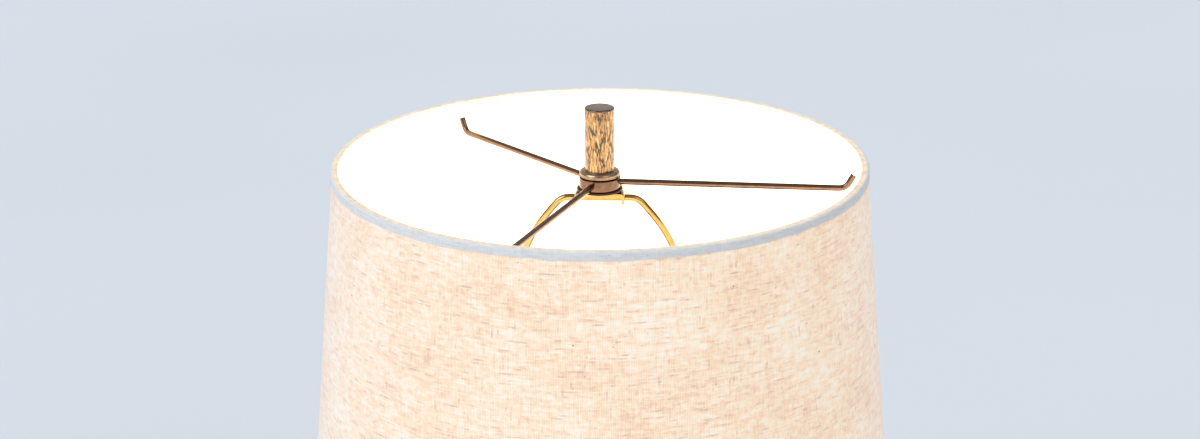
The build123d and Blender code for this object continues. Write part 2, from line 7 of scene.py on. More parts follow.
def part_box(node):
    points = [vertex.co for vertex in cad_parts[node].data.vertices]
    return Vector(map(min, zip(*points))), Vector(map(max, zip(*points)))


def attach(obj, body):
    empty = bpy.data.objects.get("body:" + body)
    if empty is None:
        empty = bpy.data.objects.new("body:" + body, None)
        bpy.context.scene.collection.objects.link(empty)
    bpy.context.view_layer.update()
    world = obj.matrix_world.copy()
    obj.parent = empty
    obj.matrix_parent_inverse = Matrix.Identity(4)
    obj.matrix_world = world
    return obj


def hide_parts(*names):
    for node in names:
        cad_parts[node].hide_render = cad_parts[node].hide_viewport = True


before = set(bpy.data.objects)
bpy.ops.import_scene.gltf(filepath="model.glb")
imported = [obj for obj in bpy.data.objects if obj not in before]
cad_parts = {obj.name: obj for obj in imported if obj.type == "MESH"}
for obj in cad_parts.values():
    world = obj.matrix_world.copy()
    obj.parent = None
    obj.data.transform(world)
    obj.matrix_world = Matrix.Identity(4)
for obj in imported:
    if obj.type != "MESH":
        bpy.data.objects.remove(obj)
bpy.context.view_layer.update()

MM = 0.001

# CAMERA. It stands a step in front of the lamp, a little above the shade, and looks down on its top.
# The distance, height and tilt are the ones that lay the top ring and the shade's two sides where
# the photograph has them.
CAMERA_DISTANCE = 1443 * MM
CAMERA_RISE = math.radians(17.64)
CAMERA_TILT = math.radians(19.22)
CAMERA_ROLL = math.radians(-0.287)
CAMERA_LENS = 65.2

shade_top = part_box("top_trim")[1].z
camera = bpy.data.objects.new("camera", bpy.data.cameras.new("camera"))
bpy.context.scene.collection.objects.link(camera)
bpy.context.scene.camera = camera
camera.data.sensor_width = 36
camera.data.lens = CAMERA_LENS
stand = Matrix.Translation((
    0,
    -CAMERA_DISTANCE * math.cos(CAMERA_RISE),
    shade_top + CAMERA_DISTANCE * math.sin(CAMERA_RISE),
))
aim = Matrix.Rotation(math.pi / 2 - CAMERA_TILT, 4, "X")
camera.matrix_world = stand @ aim @ Matrix.Rotation(CAMERA_ROLL, 4, "Z")
bpy.context.scene.view_settings.view_transform = "Standard"


# STUDIO. A wide pale blue-grey floor, and a backdrop of the same colour round it, with a broad soft
# light from the left and a weaker one from the right. A white card would come out just white.
# Overhead and on the camera's side the room is left dim, which gives polished metal its dark lines.
FLOOR_HEX = "d9dfe4"
FLOOR_SHADE_HEX = "d6dce1"
PAINT_CLOUD = 1250 * MM
SKY_HEX = "dbe0e7"
SKY_LIGHT_HEX = "f6f9ff"
ROOM_HEX = "a8a29d"
ROOM_SIDE = (0.0, -0.7, 0.7)
SKY_LIGHT = 0.72
FLOOR_RADIUS = 60.0
FLOOR_SIDES = 96
LIGHTS = (
    ("key_light", (-0.75, -0.45, 0.65), 40, 1.5, "f0f4ff"),
    ("fill_light", (0.6, -0.7, 0.75), 35, 0.4, "fffaf4"),
)


def linear(code):
    """An sRGB hex colour as linear red, green, blue and alpha."""
    parts = [int(code[i:i + 2], 16) / 255 for i in (0, 2, 4)]
    return [p / 12.92 if p <= 0.04045 else ((p + 0.055) / 1.055) ** 2.4 for p in parts] + [1.0]


def plug(tree, node, inputs):
    """Gives a node its values and links; a node in place of a value means its first output."""
    for socket, value in inputs.items():
        if isinstance(value, bpy.types.Node):
            value = value.outputs[0]
        if isinstance(value, bpy.types.NodeSocket):
            tree.links.new(value, node.inputs[socket])
        else:
            node.inputs[socket].default_value = value


def add(tree, kind, inputs={}, stops=(), **settings):
    """Adds one shader node with its settings, its values or links, and a ramp's colour stops."""
    node = tree.nodes.new("ShaderNode" + kind)
    for name, value in settings.items():
        setattr(node, name, value)
    plug(tree, node, inputs)
    for index, (place, code) in enumerate(stops):
        elements = node.color_ramp.elements
        stop = elements[index] if index < 2 else elements.new(place)
        stop.position = place
        stop.color = linear(code)
    return node


def finish(name):
    """A new material, its node tree, its main shader and the place on the lamp."""
    made = bpy.data.materials.new(name)
    made.use_nodes = True
    tree = made.node_tree
    return made, tree, tree.nodes["Principled BSDF"], add(tree, "TexCoord").outputs["Object"]


world = bpy.data.worlds.new("studio")
bpy.context.scene.world = world
world.use_nodes = True
sky = world.node_tree
rays = add(sky, "LightPath").outputs
seen = add(sky, "Math", {0: rays["Is Camera Ray"], 1: rays["Is Glossy Ray"]}, operation="ADD")
seen = add(sky, "Math", {0: seen, 1: rays["Is Transmission Ray"]}, operation="ADD", use_clamp=True)
way = add(sky, "TexCoord").outputs["Generated"]
dim = add(sky, "VectorMath", {0: way, 1: ROOM_SIDE}, operation="DOT_PRODUCT").outputs["Value"]
dim = add(sky, "MapRange", {"Value": dim, "From Min": -0.5, "From Max": 0.1})
dim = add(sky, "Math", {0: dim, 1: rays["Is Glossy Ray"]}, operation="MULTIPLY")
room = add(sky, "MixRGB", {"Fac": dim, "Color1": linear(SKY_HEX), "Color2": linear(ROOM_HEX)})
sky_light = add(sky, "Background", {"Color": linear(SKY_LIGHT_HEX), "Strength": SKY_LIGHT})
sky_seen = add(sky, "Background", {"Color": room, "Strength": 1.0})
sky_mix = add(sky, "MixShader", {0: seen, 1: sky_light, 2: sky_seen})
plug(sky, sky.nodes["World Output"], {"Surface": sky_mix})


def grained(tree, place, size, detail, dark, pale, gloss=None, bump=None, fine=None, places=(0.3, 0.7)):
    """Patches of a real size in two colours, with their gloss and relief, ready to plug in.

    gloss is the least and the most roughness, and bump a strength and a depth. Both follow the
    fine pattern where one is given. places are where on the patches the two colours lie.
    """
    patches = add(tree, "TexNoise", {"Vector": place, "Scale": 1 / size, "Detail": detail})
    fine = fine or patches
    looks = {"Base Color": add(tree, "ValToRGB", {"Fac": patches}, zip(places, (dark, pale)))}
    if gloss:
        looks["Roughness"] = add(tree, "MapRange", {"Value": fine, "To Min": gloss[0], "To Max": gloss[1]})
    if bump:
        looks["Normal"] = add(tree, "Bump", {"Height": fine, "Strength": bump[0], "Distance": bump[1]})
    return looks


# Matt paint, rolled on in one coat: its faint cloudiness keeps the pale floor from looking empty.
painted_floor, tree, shader, place = finish("painted_floor")
plug(tree, shader, grained(tree, place, PAINT_CLOUD, 1.0, FLOOR_SHADE_HEX, FLOOR_HEX))
plug(tree, shader, {"Roughness": 0.75})

floor_mesh = bpy.data.meshes.new("floor")
turns = [2 * math.pi * side / FLOOR_SIDES for side in range(FLOOR_SIDES)]
rim = [(FLOOR_RADIUS * math.cos(turn), FLOOR_RADIUS * math.sin(turn), 0) for turn in turns]
floor_mesh.from_pydata(rim, [], [range(FLOOR_SIDES)])
floor = bpy.data.objects.new("floor", floor_mesh)
floor_mesh.materials.append(painted_floor)
bpy.context.scene.collection.objects.link(floor)

for name, source, spread, strength, code in LIGHTS:
    light = bpy.data.lights.new(name, "SUN")
    light.angle = math.radians(spread)
    light.energy = strength
    light.color = linear(code)[:3]
    holder = bpy.data.objects.new(name, light)
    holder.rotation_euler = Vector(source).to_track_quat("Z", "Y").to_euler()
    bpy.context.scene.collection.objects.link(holder)


# FELT PAD. A disc of dense brown wool felt, die cut and glued under the foot.
# Its edge is soft and slightly uneven, and the fibres leave a fine matt nap.
FELT_EDGE = 0.7 * MM
FELT_NAP = 0.12 * MM
FIBRE = 0.5 * MM
SHARP = math.radians(38)


def solid(points, faces):
    """A closed mesh with its doubled points joined and its faces turned outwards."""
    shape = bmesh.new()
    corners = [shape.verts.new(point) for point in points]
    for face in faces:
        shape.faces.new([corners[i] for i in face])
    bmesh.ops.remove_doubles(shape, verts=shape.verts, dist=1e-7)
    bmesh.ops.dissolve_degenerate(shape, edges=shape.edges, dist=1e-8)
    bmesh.ops.recalc_face_normals(shape, faces=shape.faces)
    mesh = bpy.data.meshes.new("mesh")
    shape.to_mesh(mesh)
    shape.free()
    return mesh


def rounded(corners, steps=4):
    """A profile through (radius, height, fillet) corners, each fillet drawn as a short curve."""
    profile = []
    for i, (radius, height, fillet) in enumerate(corners):
        here = Vector((radius, height))
        before = Vector(corners[i - 1][:2]) - here
        after = Vector(corners[(i + 1) % len(corners)][:2]) - here
        start = here + before.normalized() * min(fillet, before.length * 0.45)
        end = here + after.normalized() * min(fillet, after.length * 0.45)
        for step in range(steps + 1 if fillet else 1):
            t = step / steps
            profile.append(tuple(start.lerp(here, t).lerp(here.lerp(end, t), t)))
    return profile


def turned(profile, slices=96, swell=None):
    """A mesh turned about the Z axis; swell(angle, height, radius) adds to the radius."""
    count = len(profile)
    points = []
    faces = []
    for turn in range(slices):
        angle = 2 * math.pi * turn / slices
        for radius, height in profile:
            if swell and radius > 0:
                radius += swell(angle, height, radius)
            points.append((radius * math.cos(angle), radius * math.sin(angle), height))
        this, other = turn * count, (turn + 1) % slices * count
        for i in range(count):
            j = (i + 1) % count
            faces.append((this + i, other + i, other + j, this + j))
    return solid(points, faces)


def piece(name, mesh, material, body, slot, *nodes):
    """Places a mesh as a piece that rides on a body and stands for the CAD nodes named."""
    mesh.name = name
    made = bpy.data.objects.new(name, mesh)
    bpy.context.scene.collection.objects.link(made)
    if not mesh.materials:
        mesh.materials.append(material)
    mesh.shade_smooth()
    mesh.set_sharp_from_angle(angle=SHARP)
    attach(made, body)
    if nodes:
        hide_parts(*nodes)
    return made


# Wool felt: its nap swallows the light, so it is matt and nearly even, with a soft pale edge.
wool_felt, tree, shader, place = finish("wool_felt")
fibres = add(tree, "TexNoise", {"Vector": place, "Scale": 1 / FIBRE, "Detail": 3.0, "Roughness": 0.7})
tone = add(tree, "ValToRGB", {"Fac": fibres}, [(0.3, "2c2420"), (0.7, "4b4039")])
nap = add(tree, "Bump", {"Height": fibres, "Strength": 0.5, "Distance": FELT_NAP})
plug(tree, shader, {"Base Color": tone, "Normal": nap, "Roughness": 0.95, "Sheen Weight": 0.3})

low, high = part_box("felt_pad")
profile = rounded([(0, low.z, 0), (high.x, low.z, FELT_EDGE), (high.x, high.z, FELT_EDGE), (0, high.z, 0)])


def ragged(angle, height, radius):
    """The small waves that a die leaves round the edge of the felt."""
    return -FELT_NAP * (1 + math.sin(23 * angle) * math.sin(7 * angle + 1)) * (radius > high.x / 2)


piece("felt_disc", turned(profile, 120, ragged), wool_felt, "base", "felt", "felt_pad")


# FOOT. A heavy iron casting, turned on its rim and step and lacquered dark bronze.
# The skin is smooth with faint casting grain, and catches a soft light along its turned edges.
FOOT_LEDGE = 9 * MM
FOOT_DROP = 4 * MM
FOOT_BEVEL = 3 * MM
FOOT_HOLLOW = 62 * MM
FOOT_CROWN = 8.5 * MM
FOOT_STEP = 55.7 * MM
PIPE_HOLE = 5.2 * MM
INLET = 5.1 * MM
CASTING_GRAIN = 1.1 * MM
LACQUER_CLOUD = 18 * MM


def carved(mesh, tool):
    """The mesh with the tool's volume cut out of it."""
    pair = [bpy.data.objects.new(shape.name, shape) for shape in (mesh, tool)]
    for made in pair:
        bpy.context.scene.collection.objects.link(made)
    cut = pair[0].modifiers.new("cut", "BOOLEAN")
    cut.object = pair[1]
    cut.solver = "EXACT"
    scene_state = bpy.context.evaluated_depsgraph_get()
    result = bpy.data.meshes.new_from_object(pair[0].evaluated_get(scene_state))
    for made in pair:
        bpy.data.objects.remove(made)
    return result


def laid(mesh, matrix):
    """The mesh moved and turned to where it belongs."""
    mesh.transform(matrix)
    return mesh


# Cast iron under bronze lacquer: the sand's grain shows in the highlights, and the brown is cloudy.
bronzed_iron, tree, shader, place = finish("bronzed_cast_iron")
sand = add(tree, "TexNoise", {"Vector": place, "Scale": 1 / CASTING_GRAIN, "Detail": 4.0})
cast = grained(tree, place, LACQUER_CLOUD, 3.0, "332c27", "4a4038", (0.34, 0.5), (0.35, 0.1 * MM), sand)
plug(tree, shader, {**cast, "Metallic": 0.85})

foot_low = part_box("foot")[0]
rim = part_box("foot")[1].x
foot_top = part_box("spiral_body")[0].z
step_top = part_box("foot")[1].z
ledge = foot_top - FOOT_DROP
casting = turned(rounded([
    (FOOT_HOLLOW, foot_low.z, 0.5 * MM),
    (rim, foot_low.z, 0.8 * MM),
    (rim, ledge - FOOT_BEVEL, 1.6 * MM),
    (rim - FOOT_BEVEL, ledge, 1.6 * MM),
    (rim - FOOT_LEDGE, ledge, 1.6 * MM),
    (rim - FOOT_LEDGE - FOOT_DROP, foot_top, 1.2 * MM),
    (FOOT_STEP, foot_top, 0),
    (FOOT_STEP, step_top, 0.8 * MM),
    (PIPE_HOLE, step_top, 0),
    (PIPE_HOLE, foot_top - FOOT_CROWN, 0),
    (FOOT_HOLLOW, foot_top - FOOT_CROWN, 2 * MM),
]), 144)
bushing_low, bushing_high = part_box("cord_bushing")
inlet_z = (bushing_low.z + bushing_high.z) / 2
drill = turned([(0, 0), (INLET, 0), (INLET, 40 * MM), (0, 40 * MM)], 48)
drill = laid(drill, Matrix.Translation((0, rim - 30 * MM, inlet_z)) @ Matrix.Rotation(-math.pi / 2, 4, "X"))
piece("foot_casting", carved(casting, drill), bronzed_iron, "base", "bronzed_iron", "foot")


# CORD BUSHING. A moulded black nylon bushing pressed into the hole at the back of the foot.
# Its bore is left open for the cord, its lip is rounded, and the moulding is matt.
BUSHING_BORE = 3.5 * MM
BUSHING_BARREL = 5.0 * MM
BUSHING_LIP = 2 * MM
SPARK_GRAIN = 0.4 * MM

# Moulded nylon: the spark-eroded mould leaves a fine matt texture that only shows at a glance.
nylon, tree, shader, place = finish("moulded_nylon")
moulded = grained(
    tree, place, SPARK_GRAIN, 2.0, "141414", "1e1d1d", bump=(0.3, 0.05 * MM), places=(0.35, 0.65),
)
plug(tree, shader, {**moulded, "Roughness": 0.55, "IOR": 1.53})

lip = (bushing_high.x - bushing_low.x) / 2
length = bushing_high.y - bushing_low.y
bushing = turned(rounded([
    (BUSHING_BORE, 0, 0.5 * MM),
    (BUSHING_BARREL, 0, 0.6 * MM),
    (BUSHING_BARREL, length - BUSHING_LIP, 0),
    (lip, length - BUSHING_LIP, 0.4 * MM),
    (lip, length, 1.0 * MM),
    (BUSHING_BORE, length, 1.0 * MM),
]), 48)
seat = Matrix.Translation((0, bushing_low.y, inlet_z)) @ Matrix.Rotation(-math.pi / 2, 4, "X")
piece("cord_bushing_moulding", laid(bushing, seat), nylon, "base", "black_nylon", "cord_bushing")


# SPIRAL BODY. A steel tube with one helical slot sawn through it, its edges eased by hand.
# Outside it has the finial's finish: gold leaf rubbed back over dark brown lacquer, so that short
# upright streaks like bark show through. The sawn edges and the inside stay dark.
SPIRAL_WALL = 4 * MM
SPIRAL_PITCH = 66 * MM
SPIRAL_SLOT = 32 * MM
SPIRAL_TURNS = 3.9
SPIRAL_START = math.radians(-100)
SPIRAL_EDGE = 0.8 * MM
BRUSH_MARK = 2.5 * MM
COLUMNS = 180
BARK_WIDTH = 1.5 * MM
BARK_LENGTH = 7 * MM
BARK_TONES = ("35261b", "f0e4c6", "654a33", "a5875c", "c8a768", "d8b263")


def bark(name, width, length, tones):
    """Gold leaf rubbed back over brown lacquer, from bare lacquer to bright leaf in these tones.

    The streaks are width across and length tall.
    """
    made, tree, shader, place = finish(name)
    drift = add(tree, "TexNoise", {"Vector": place, "Scale": 1 / (2 * length), "Detail": 2.0})
    shift = add(tree, "VectorMath", {0: drift.outputs["Color"], "Scale": 2.2 * width}, operation="SCALE")
    bent_place = add(tree, "VectorMath", {0: place, 1: shift}, operation="ADD")
    upright = (1 / width, 1 / width, 1 / length)
    stretched = add(tree, "VectorMath", {0: bent_place, 1: upright}, operation="MULTIPLY")
    streaks = add(tree, "TexNoise", {"Vector": stretched, "Scale": 1.0, "Detail": 2.0, "Roughness": 0.6})
    plates = add(tree, "TexVoronoi", {"Vector": stretched, "Scale": 0.45}, feature="DISTANCE_TO_EDGE")
    crack = add(tree, "MapRange", {"Value": plates, "From Max": 0.15})
    worn = add(tree, "TexNoise", {"Vector": place, "Scale": 1 / (1.4 * length), "Detail": 2.0})
    depth = add(tree, "MapRange", {"Value": worn, "From Min": 0.38, "From Max": 0.6})
    carve = add(tree, "Math", {0: 1.0, 1: crack}, operation="SUBTRACT")
    carve = add(tree, "Math", {0: carve, 1: depth}, operation="MULTIPLY")
    height = add(tree, "Math", {0: carve, 1: -0.4, 2: streaks}, operation="MULTIPLY_ADD")
    levels = (0.24, 0.68, 0.32, 0.4, 0.49, 0.57)
    tone = add(tree, "ValToRGB", {"Fac": height}, list(zip(levels, tones)))
    metal = add(tree, "MapRange", {"Value": height, "From Min": 0.3, "From Max": 0.45})
    gloss = {"From Min": 0.3, "From Max": 0.6, "To Min": 0.55, "To Max": 0.32}
    gloss = add(tree, "MapRange", {"Value": height, **gloss})
    relief = add(tree, "Bump", {"Height": height, "Strength": 0.8, "Distance": 0.35 * MM})
    plug(tree, shader, {
        "Base Color": tone,
        "Metallic": metal,
        "Roughness": gloss,
        "Normal": relief,
        "Coat Weight": 0.6,
        "Coat Roughness": 0.12,
    })
    return made


def settled(mesh, *modifiers):
    """The mesh after these modifiers, each given as its kind and its settings."""
    holder = bpy.data.objects.new(mesh.name, mesh)
    bpy.context.scene.collection.objects.link(holder)
    for kind, settings in modifiers:
        step = holder.modifiers.new(kind, kind)
        for name, value in settings.items():
            setattr(step, name, value)
    scene_state = bpy.context.evaluated_depsgraph_get()
    result = bpy.data.meshes.new_from_object(holder.evaluated_get(scene_state))
    bpy.data.objects.remove(holder)
    return result


def eased(width, limit):
    """The settings of a bevel on every edge sharper than the limit."""
    return "BEVEL", {"width": width, "segments": 2, "limit_method": "ANGLE", "angle_limit": limit}


leafed = bark("gold_leaf_on_steel", BARK_WIDTH, BARK_LENGTH, BARK_TONES)

# Brown lacquer brushed on steel: uneven in tone and gloss, so the inside isn't a flat black.
dark_lacquer, tree, shader, place = finish("dark_lacquer_on_steel")
brushed = grained(tree, place, BRUSH_MARK, 4.0, "2b1f18", "46352a", (0.35, 0.55))
plug(tree, shader, {**brushed, "Metallic": 0.6})

spiral_low, spiral_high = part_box("spiral_body")
spiral_radius = spiral_high.x
mid_radius = spiral_radius - SPIRAL_WALL / 2
slope = SPIRAL_PITCH / (2 * math.pi * mid_radius)
half_slot = SPIRAL_SLOT / 2 * math.hypot(1, slope)
first = spiral_low.z + (spiral_high.z - spiral_low.z - SPIRAL_PITCH * SPIRAL_TURNS) / 2
slot_rows = [-1, -0.5, 0, 0.5]
band = SPIRAL_PITCH - 2 * half_slot
rows = []
for turn in range(-2, 6):
    rows += [(turn * SPIRAL_PITCH + row * half_slot, turn) for row in slot_rows]
    rows += [(turn * SPIRAL_PITCH + half_slot + row * band / 4, None) for row in range(4)]
last_column = round(SPIRAL_TURNS * COLUMNS)
points = []
faces = []
for column in range(COLUMNS + 1):
    angle = SPIRAL_START + 2 * math.pi * column / COLUMNS
    for row, _ in rows:
        height = first + row + SPIRAL_PITCH * column / COLUMNS
        height = min(max(height, spiral_low.z), spiral_high.z)
        points.append((spiral_radius * math.cos(angle), spiral_radius * math.sin(angle), height))
for column in range(COLUMNS):
    for i, (_, turn) in enumerate(rows[:-1]):
        sawn = turn is not None and 0 <= turn * COLUMNS + column < last_column
        corner = column * len(rows) + i
        quad = (corner, corner + len(rows), corner + len(rows) + 1, corner + 1)
        heights = {round(points[k][2], 9) for k in quad}
        if not sawn and len(heights) > 1:
            faces.append(quad)
skin = solid(points, faces)
for material in (leafed, dark_lacquer):
    skin.materials.append(material)
tube = settled(
    skin,
    ("SOLIDIFY", {"thickness": SPIRAL_WALL, "offset": -1, "material_offset": 1, "material_offset_rim": 1}),
    eased(SPIRAL_EDGE, math.radians(50)),
)
piece("spiral_tube", tube, leafed, "base", "gold_leafed_steel", "spiral_body")


# STEM, CROWN PLATE AND NECK. Steel turned to shape, and blackened and waxed to a dark bronze.
# Fine turning lines run round it, and it shines softly on its rounded edges. The stem inside the
# spiral is plain tube in the same finish, and the crown is drawn down on it by the pipe's nuts.
CROWN_BEVEL = 2.5 * MM
CROWN_STEP = 3 * MM
NECK_BASE = 17 * MM
NECK_BASE_H = 4 * MM
NECK_BEVEL = 2 * MM
NECK_TOP = 9.5 * MM
TURNING_PITCH = 0.9 * MM
WAX_CLOUD = 9 * MM


def blackened(name, dark, pale, smooth, rough):
    """Steel blackened and waxed to between these two browns.

    Its turning lines break the highlights into fine rings, and the wax is a little cloudy.
    """
    made, tree, shader, place = finish(name)
    lines = add(tree, "VectorMath", {0: place, 1: (60, 60, 1 / TURNING_PITCH)}, operation="MULTIPLY")
    turning = add(tree, "TexNoise", {"Vector": lines, "Scale": 1.0, "Detail": 3.0})
    waxed = grained(tree, place, WAX_CLOUD, 3.0, dark, pale, (smooth, rough), (0.12, 0.05 * MM), turning)
    plug(tree, shader, {**waxed, "Metallic": 1.0})
    return made


dark_bronze = blackened("blackened_bronze", "6f5c4d", "8a7462", 0.12, 0.26)


def refinish(node, material):
    """Gives a CAD node that stays in sight its own finish."""
    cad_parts[node].data.materials.clear()
    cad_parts[node].data.materials.append(material)


refinish("stem_tube", dark_bronze)
crown_z = spiral_high.z
neck_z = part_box("crown_plate")[1].z
crown_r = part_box("crown_plate")[1].x
crown = turned(rounded([
    (PIPE_HOLE, crown_z - CROWN_STEP, 0),
    (FOOT_STEP, crown_z - CROWN_STEP, 0.6 * MM),
    (FOOT_STEP, crown_z, 0),
    (crown_r, crown_z, 0.5 * MM),
    (crown_r, neck_z - CROWN_BEVEL, 1.2 * MM),
    (crown_r - CROWN_BEVEL, neck_z, 1.2 * MM),
    (PIPE_HOLE, neck_z, 0),
]), 144)
piece("crown_disc", crown, dark_bronze, "base", "dark_bronze", "crown_plate")

saddle_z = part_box("neck_collar")[1].z
neck = turned(rounded([
    (PIPE_HOLE, neck_z, 0),
    (NECK_BASE, neck_z, 0.3 * MM),
    (NECK_BASE, neck_z + NECK_BASE_H, 1.2 * MM),
    (NECK_TOP + NECK_BEVEL, neck_z + NECK_BASE_H, 0.6 * MM),
    (NECK_TOP, neck_z + NECK_BASE_H + NECK_BEVEL, 0.9 * MM),
    (NECK_TOP, saddle_z, 0.6 * MM),
    (PIPE_HOLE, saddle_z, 0),
]), 72)
piece("neck_turning", neck, dark_bronze, "base", "dark_bronze", "neck_collar")


# PIPE, NUTS AND WASHERS. Standard lamp pipe of rolled steel, zinc plated, with stamped nuts and
# washers to match. The plating is bright with a fine crystalline mottle.
SPANGLE = 1.6 * MM
PIPE_THREAD = 0.94 * MM

# Zinc plate: each crystal has its own grey and gloss, and the pipe's thread shows as fine rings.
zinc, tree, shader, place = finish("zinc_plated_steel")
crystals = add(tree, "TexVoronoi", {"Vector": place, "Scale": 1 / SPANGLE})
tone = add(tree, "ValToRGB", {"Fac": crystals.outputs["Color"]}, [(0.2, "a3a6a8"), (0.8, "c4c7c9")])
gloss = add(tree, "MapRange", {"Value": crystals, "To Min": 0.25, "To Max": 0.42})
level = add(tree, "SeparateXYZ", {0: place}).outputs["Z"]
thread = add(tree, "Math", {0: level, 1: 2 * math.pi / PIPE_THREAD}, operation="MULTIPLY")
thread = add(tree, "Math", {0: thread}, operation="SINE")
relief = add(tree, "Bump", {"Height": thread, "Strength": 0.3, "Distance": 0.1 * MM})
plug(tree, shader, {"Base Color": tone, "Roughness": gloss, "Normal": relief, "Metallic": 1.0})

for node in ("threaded_pipe", "pipe_nuts", "pipe_washers", "switch_shaft"):
    refinish(node, zinc)


# HARP SADDLE AND FERRULES. The saddle is brass strip, blanked and bent up at both ends into the
# prongs that the harp stands on. A drawn brass ferrule slides down each foot of the harp and locks it.
HARP_TURN = math.radians(-3)
HARP_FOOT = 29 * MM
SADDLE_T = 1.6 * MM
SADDLE_WIDTH = 13 * MM
SADDLE_BEND = 2.8 * MM
SADDLE_SHOULDER = 6 * MM
PRONG_WIDTH = 4.2 * MM
PRONG = 12 * MM
FERRULE_WALL = 1.1 * MM
BRASS_DULLING = 6 * MM
DRAWING_LINES = (900, 900, 120)

ACROSS_HARP = Vector((-math.sin(HARP_TURN), math.cos(HARP_TURN), 0))


def on_harp(across, height):
    """A point in the harp's upright plane, at a distance from its middle and a height."""
    return Vector((across * math.cos(HARP_TURN), across * math.sin(HARP_TURN), height))


def bent(corners, radii, steps=8):
    """Points along straight runs, with a round bend at each inner corner."""
    path = [corners[0]]
    for before, here, after, radius in zip(corners, corners[1:], corners[2:], radii):
        heading = (here - before).normalized()
        leaving = (after - here).normalized()
        turn = heading.angle(leaving)
        side = (leaving - heading * heading.dot(leaving)).normalized()
        start = here - heading * radius * math.tan(turn / 2)
        for step in range(steps + 1):
            swing = turn * step / steps
            path.append(start + heading * radius * math.sin(swing) + side * radius * (1 - math.cos(swing)))
    return path + [corners[-1]]


def swept(path, across, sections):
    """A mesh of sections carried along a path that lies in one plane; across is square to it."""
    count = len(sections[0])
    points = []
    for i, here in enumerate(path):
        along = (path[min(i + 1, len(path) - 1)] - path[max(i - 1, 0)]).normalized()
        up = across.cross(along)
        points += [here + across * a + up * b for a, b in sections[i]]
    faces = [list(range(count)), list(range(len(points) - count, len(points)))]
    for ring in range(0, len(points) - count, count):
        for i in range(count):
            j = (i + 1) % count
            faces.append((ring + i, ring + j, ring + count + j, ring + count + i))
    return solid(points, faces)


def strip_section(width, thick):
    """The four corners of a flat strip."""
    return [(a * width / 2, b * thick / 2) for a, b in ((-1, -1), (1, -1), (1, 1), (-1, 1))]


def wire_section(diameter, sides=20):
    """A round wire's outline."""
    turns = [2 * math.pi * i / sides for i in range(sides)]
    return [(diameter / 2 * math.cos(t), diameter / 2 * math.sin(t)) for t in turns]


EASED = eased(0.3 * MM, math.radians(40))

# Drawn brass: bright, with long drawing lines in its highlights and patches dulled by handling.
brass, tree, shader, place = finish("drawn_brass")
lines = add(tree, "VectorMath", {0: place, 1: DRAWING_LINES}, operation="MULTIPLY")
drawing = add(tree, "TexNoise", {"Vector": lines, "Scale": 1.0, "Detail": 2.0})
drawn = grained(tree, place, BRASS_DULLING, 4.0, "a08655", "b69b66", (0.1, 0.22), (0.1, 0.05 * MM), drawing)
plug(tree, shader, {**drawn, "Metallic": 1.0})

middle = saddle_z + SADDLE_T / 2
shoulder = saddle_z + SADDLE_T + SADDLE_SHOULDER
path = bent([
    on_harp(-HARP_FOOT, shoulder),
    on_harp(-HARP_FOOT, middle),
    on_harp(HARP_FOOT, middle),
    on_harp(HARP_FOOT, shoulder),
], [SADDLE_BEND, SADDLE_BEND])
prong_top = Vector((0, 0, PRONG))
path = [path[0] + prong_top, path[0]] + path + [path[-1], path[-1] + prong_top]
prong_section = strip_section(PRONG_WIDTH, SADDLE_T)
wide_section = strip_section(SADDLE_WIDTH, SADDLE_T)
sections = [prong_section] * 2 + [wide_section] * (len(path) - 4) + [prong_section] * 2
saddle = settled(swept(path, ACROSS_HARP, sections), EASED)
piece("saddle_strip", saddle, brass, "base", "brass", "harp_saddle")

for side, name in ((-1, "ferrule_left"), (1, "ferrule_right")):
    low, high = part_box(name)
    outer = (high.x - low.x) / 2
    inner = outer - FERRULE_WALL
    bead = 0.35 * MM
    barrel = turned(rounded([
        (inner, low.z, 0.2 * MM),
        (outer, low.z, 0.4 * MM),
        (outer, low.z + 2.2 * MM, 0.5 * MM),
        (outer - bead, low.z + 2.7 * MM, 0.5 * MM),
        (outer - bead, high.z - 2.7 * MM, 0.5 * MM),
        (outer, high.z - 2.2 * MM, 0.5 * MM),
        (outer, high.z, 0.6 * MM),
        (inner, high.z, 0.2 * MM),
    ]), 40)
    barrel = laid(barrel, Matrix.Translation(on_harp(side * HARP_FOOT, 0)))
    piece(name + "_sleeve", barrel, brass, name, "brass", name)


# HARP. One brass wire, bent into a loop round the bulb and sprung onto the saddle's prongs.
# A stamped plate with turned-down ends is riveted over its top and carries the threaded stud.
HARP_WIRE = 4.7 * MM
HARP_HALF_WIDTH = 57.5 * MM
HARP_FLAT = 20 * MM
HARP_TOP_RADIUS = 12 * MM
HARP_SHOULDER = math.radians(50)
HARP_SIDE_RADIUS = 100 * MM
HARP_WAIST_DROP = 117 * MM
HARP_WAIST_RADIUS = 110 * MM
HARP_KNEE_RISE = 54 * MM
HARP_KNEE_RADIUS = 70 * MM
PLATE_T = 2.4 * MM
PLATE_WIDTH = 15.5 * MM
PLATE_HALF = 16.5 * MM
PLATE_BEND = 1.8 * MM
TAB_T = 1.6 * MM
TAB_DROP = 5 * MM
TAB_NOTCH = 6 * MM

